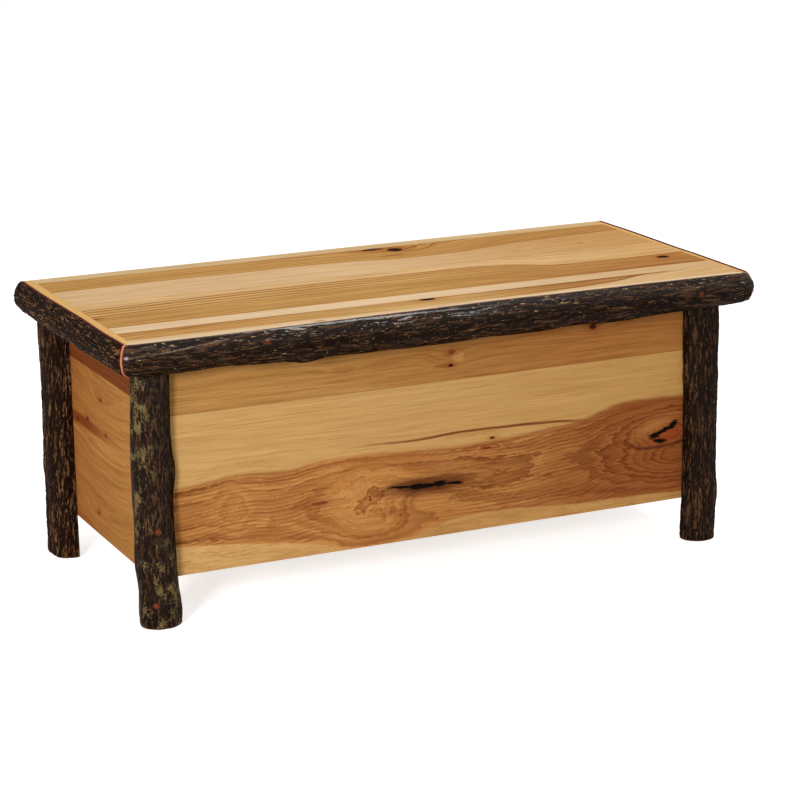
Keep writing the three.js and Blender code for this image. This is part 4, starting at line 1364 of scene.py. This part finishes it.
def build_camera():
    """The camera of the picture, from its azimuth, elevation and roll."""
    scene = bpy.context.scene
    camera = bpy.data.objects.new("camera", bpy.data.cameras.new("camera"))
    camera.data.lens = CAMERA_LENS
    camera.data.sensor_width = CAMERA_SENSOR
    camera.data.clip_end = 100
    a, e, roll = CAMERA_AZIMUTH, CAMERA_ELEVATION, CAMERA_ROLL
    back = Vector((math.sin(a) * math.cos(e), -math.cos(a) * math.cos(e), math.sin(e)))
    right = (-back).cross(Vector((0, 0, 1))).normalized()
    up = right.cross(-back)
    turned_right = math.cos(roll) * right + math.sin(roll) * up
    turned_up = -math.sin(roll) * right + math.cos(roll) * up
    turn = Matrix((turned_right, turned_up, back)).transposed()
    camera.matrix_world = Matrix.Translation(CAMERA_PLACE) @ turn.to_4x4()
    scene.collection.objects.link(camera)
    scene.camera = camera
    scene.view_settings.view_transform = "Standard"


# Operators


class CHEST_OT_stage(bpy.types.Operator):
    """Sets up the floor, the lamps and the camera"""
    bl_idname = "chest.stage"
    bl_label = "Studio"

    def execute(self, context):
        settings = context.scene.chest_stage
        build_floor(settings.floor_width)
        build_world(settings.sky_strength)
        build_lamp("key_lamp", KEY_PLACE, settings.key_power)
        build_lamp("top_lamp", TOP_PLACE, settings.top_power)
        build_camera()
        return {"FINISHED"}


class CHEST_OT_lid_logs(bpy.types.Operator):
    """Grows the three bark-on logs that frame the lid"""
    bl_idname = "chest.lid_logs"
    bl_label = "Lid Logs"

    def execute(self, context):
        strip_tones = (shown(226, 200, 162), shown(212, 178, 134))
        side_tones = (shown(226, 182, 116), shown(212, 163, 94))
        finish_log(front_log(), "front_log", "lid",
                   bark("bark_front", "X", strip_tones, 1.0, 0.6, knot_tone=shown(96, 44, 20),
                        warm=0.4, contrast=0.06, coat=0.34))
        for name, side, rim in (("left_log", -1, 4.6), ("right_log", 1, 7.0)):
            finish_log(end_log(name, side), name, "lid",
                       bark("bark_" + name, "Y", side_tones, 2.0, 0.25, contrast=0.8, coat=0.04,
                            rim=rim))
        return {"FINISHED"}


class CHEST_OT_posts(bpy.types.Operator):
    """Grows the four bark-on corner posts"""
    bl_idname = "chest.posts"
    bl_label = "Corner Posts"

    def execute(self, context):
        wood = (shown(206, 166, 112), shown(180, 134, 84))
        lichened = bark("bark_lichened", "Z", wood, 3.0, 0.2, lichen=0.8,
                        knot_tone=shown(118, 54, 26), warm=0.4, contrast=0.03, coat=0.08)
        ridged = bark("bark_ridged", "Z", wood, 4.0, 0.4, warm=0.5, contrast=0.14)
        grey = bark("bark_grey", "Z", wood, 5.0, 0.3, contrast=0.75, coat=0.04)
        for name, look in (("front_left_post", lichened), ("front_right_post", ridged),
                           ("back_left_post", grey), ("back_right_post", grey)):
            finish_log(corner_post(name), name, "case", look)
        return {"FINISHED"}


class CHEST_OT_boards(bpy.types.Operator):
    """Gives every board its wood"""
    bl_idname = "chest.boards"
    bl_label = "Boards"

    def execute(self, context):
        for index, material in enumerate(lid_materials()):
            dress(f"lid_board_{index + 1}", material)
        dress("front_upper_board", front_upper_material())
        dress("front_lower_board", front_lower_material())
        for side, seed in (("left", 8.0), ("right", 12.0)):
            upper, lower = end_materials(side + "_end_wood", seed)
            dress(side + "_upper_board", upper)
            dress(side + "_lower_board", lower)
        upper, lower = back_materials()
        dress("back_upper_board", upper)
        dress("back_lower_board", lower)
        inner = plain_board("inner_wood", LID_FACE, 17.0, shown(206, 170, 118), INNER_LINE,
                            16.0, 0.3, gloss=0.5)
        cross = plain_board("cross_wood", CROSS_FACE, 18.0, shown(204, 168, 116), INNER_LINE,
                            12.0, 0.3, gloss=0.5)
        for node in ("floor_board_1", "floor_board_2", "floor_board_3", "floor_board_4",
                     "front_cleat", "back_cleat"):
            dress(node, inner)
        for node in ("left_cleat", "right_cleat", "lid_batten_left", "lid_batten_right"):
            dress(node, cross)
        return {"FINISHED"}


class CHEST_OT_hardware(bpy.types.Operator):
    """Finishes the hinges and the lid stays"""
    bl_idname = "chest.hardware"
    bl_label = "Hinges and Stays"

    def execute(self, context):
        plate = steel("plated_steel", 1.0)
        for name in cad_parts:
            if name.startswith("hinge_") or "_stay_" in name:
                dress(name, plate)
        return {"FINISHED"}


class CHEST_OT_screws(bpy.types.Operator):
    """Sets the screws that hold the hinges, the stays and the battens"""
    bl_idname = "chest.screws"
    bl_label = "Screws"

    def execute(self, context):
        set_screws(steel("screw_steel", 2.0, with_recess_shade=True))
        return {"FINISHED"}


class CHEST_PT_panel(bpy.types.Panel):
    bl_label = "Blanket Chest"
    bl_space_type = "VIEW_3D"
    bl_region_type = "UI"
    bl_category = "Blanket Chest"

    def draw(self, context):
        scene = context.scene
        for settings in (scene.chest_bark, scene.chest_wood, scene.chest_stage):
            box = self.layout.box()
            for key in settings.bl_rna.properties.keys():
                if key not in ("rna_type", "name"):
                    box.prop(settings, key)
        for operator in OPERATORS:
            self.layout.operator(operator.bl_idname)


SETTINGS = (
    ("chest_bark", ChestBarkSettings),
    ("chest_wood", ChestWoodSettings),
    ("chest_stage", ChestStageSettings),
)
OPERATORS = (
    CHEST_OT_stage,
    CHEST_OT_lid_logs,
    CHEST_OT_posts,
    CHEST_OT_boards,
    CHEST_OT_hardware,
    CHEST_OT_screws,
)


def register():
    for key, settings in SETTINGS:
        bpy.utils.register_class(settings)
        setattr(bpy.types.Scene, key, PointerProperty(type=settings))
    for operator in OPERATORS:
        bpy.utils.register_class(operator)
    bpy.utils.register_class(CHEST_PT_panel)


def unregister():
    bpy.utils.unregister_class(CHEST_PT_panel)
    for operator in reversed(OPERATORS):
        bpy.utils.unregister_class(operator)
    for key, settings in reversed(SETTINGS):
        delattr(bpy.types.Scene, key)
        bpy.utils.unregister_class(settings)


def main():
    register()
    bpy.ops.chest.stage()
    bpy.ops.chest.lid_logs()
    bpy.ops.chest.posts()
    bpy.ops.chest.boards()
    bpy.ops.chest.hardware()
    bpy.ops.chest.screws()


if __name__ == "__main__":
    main()
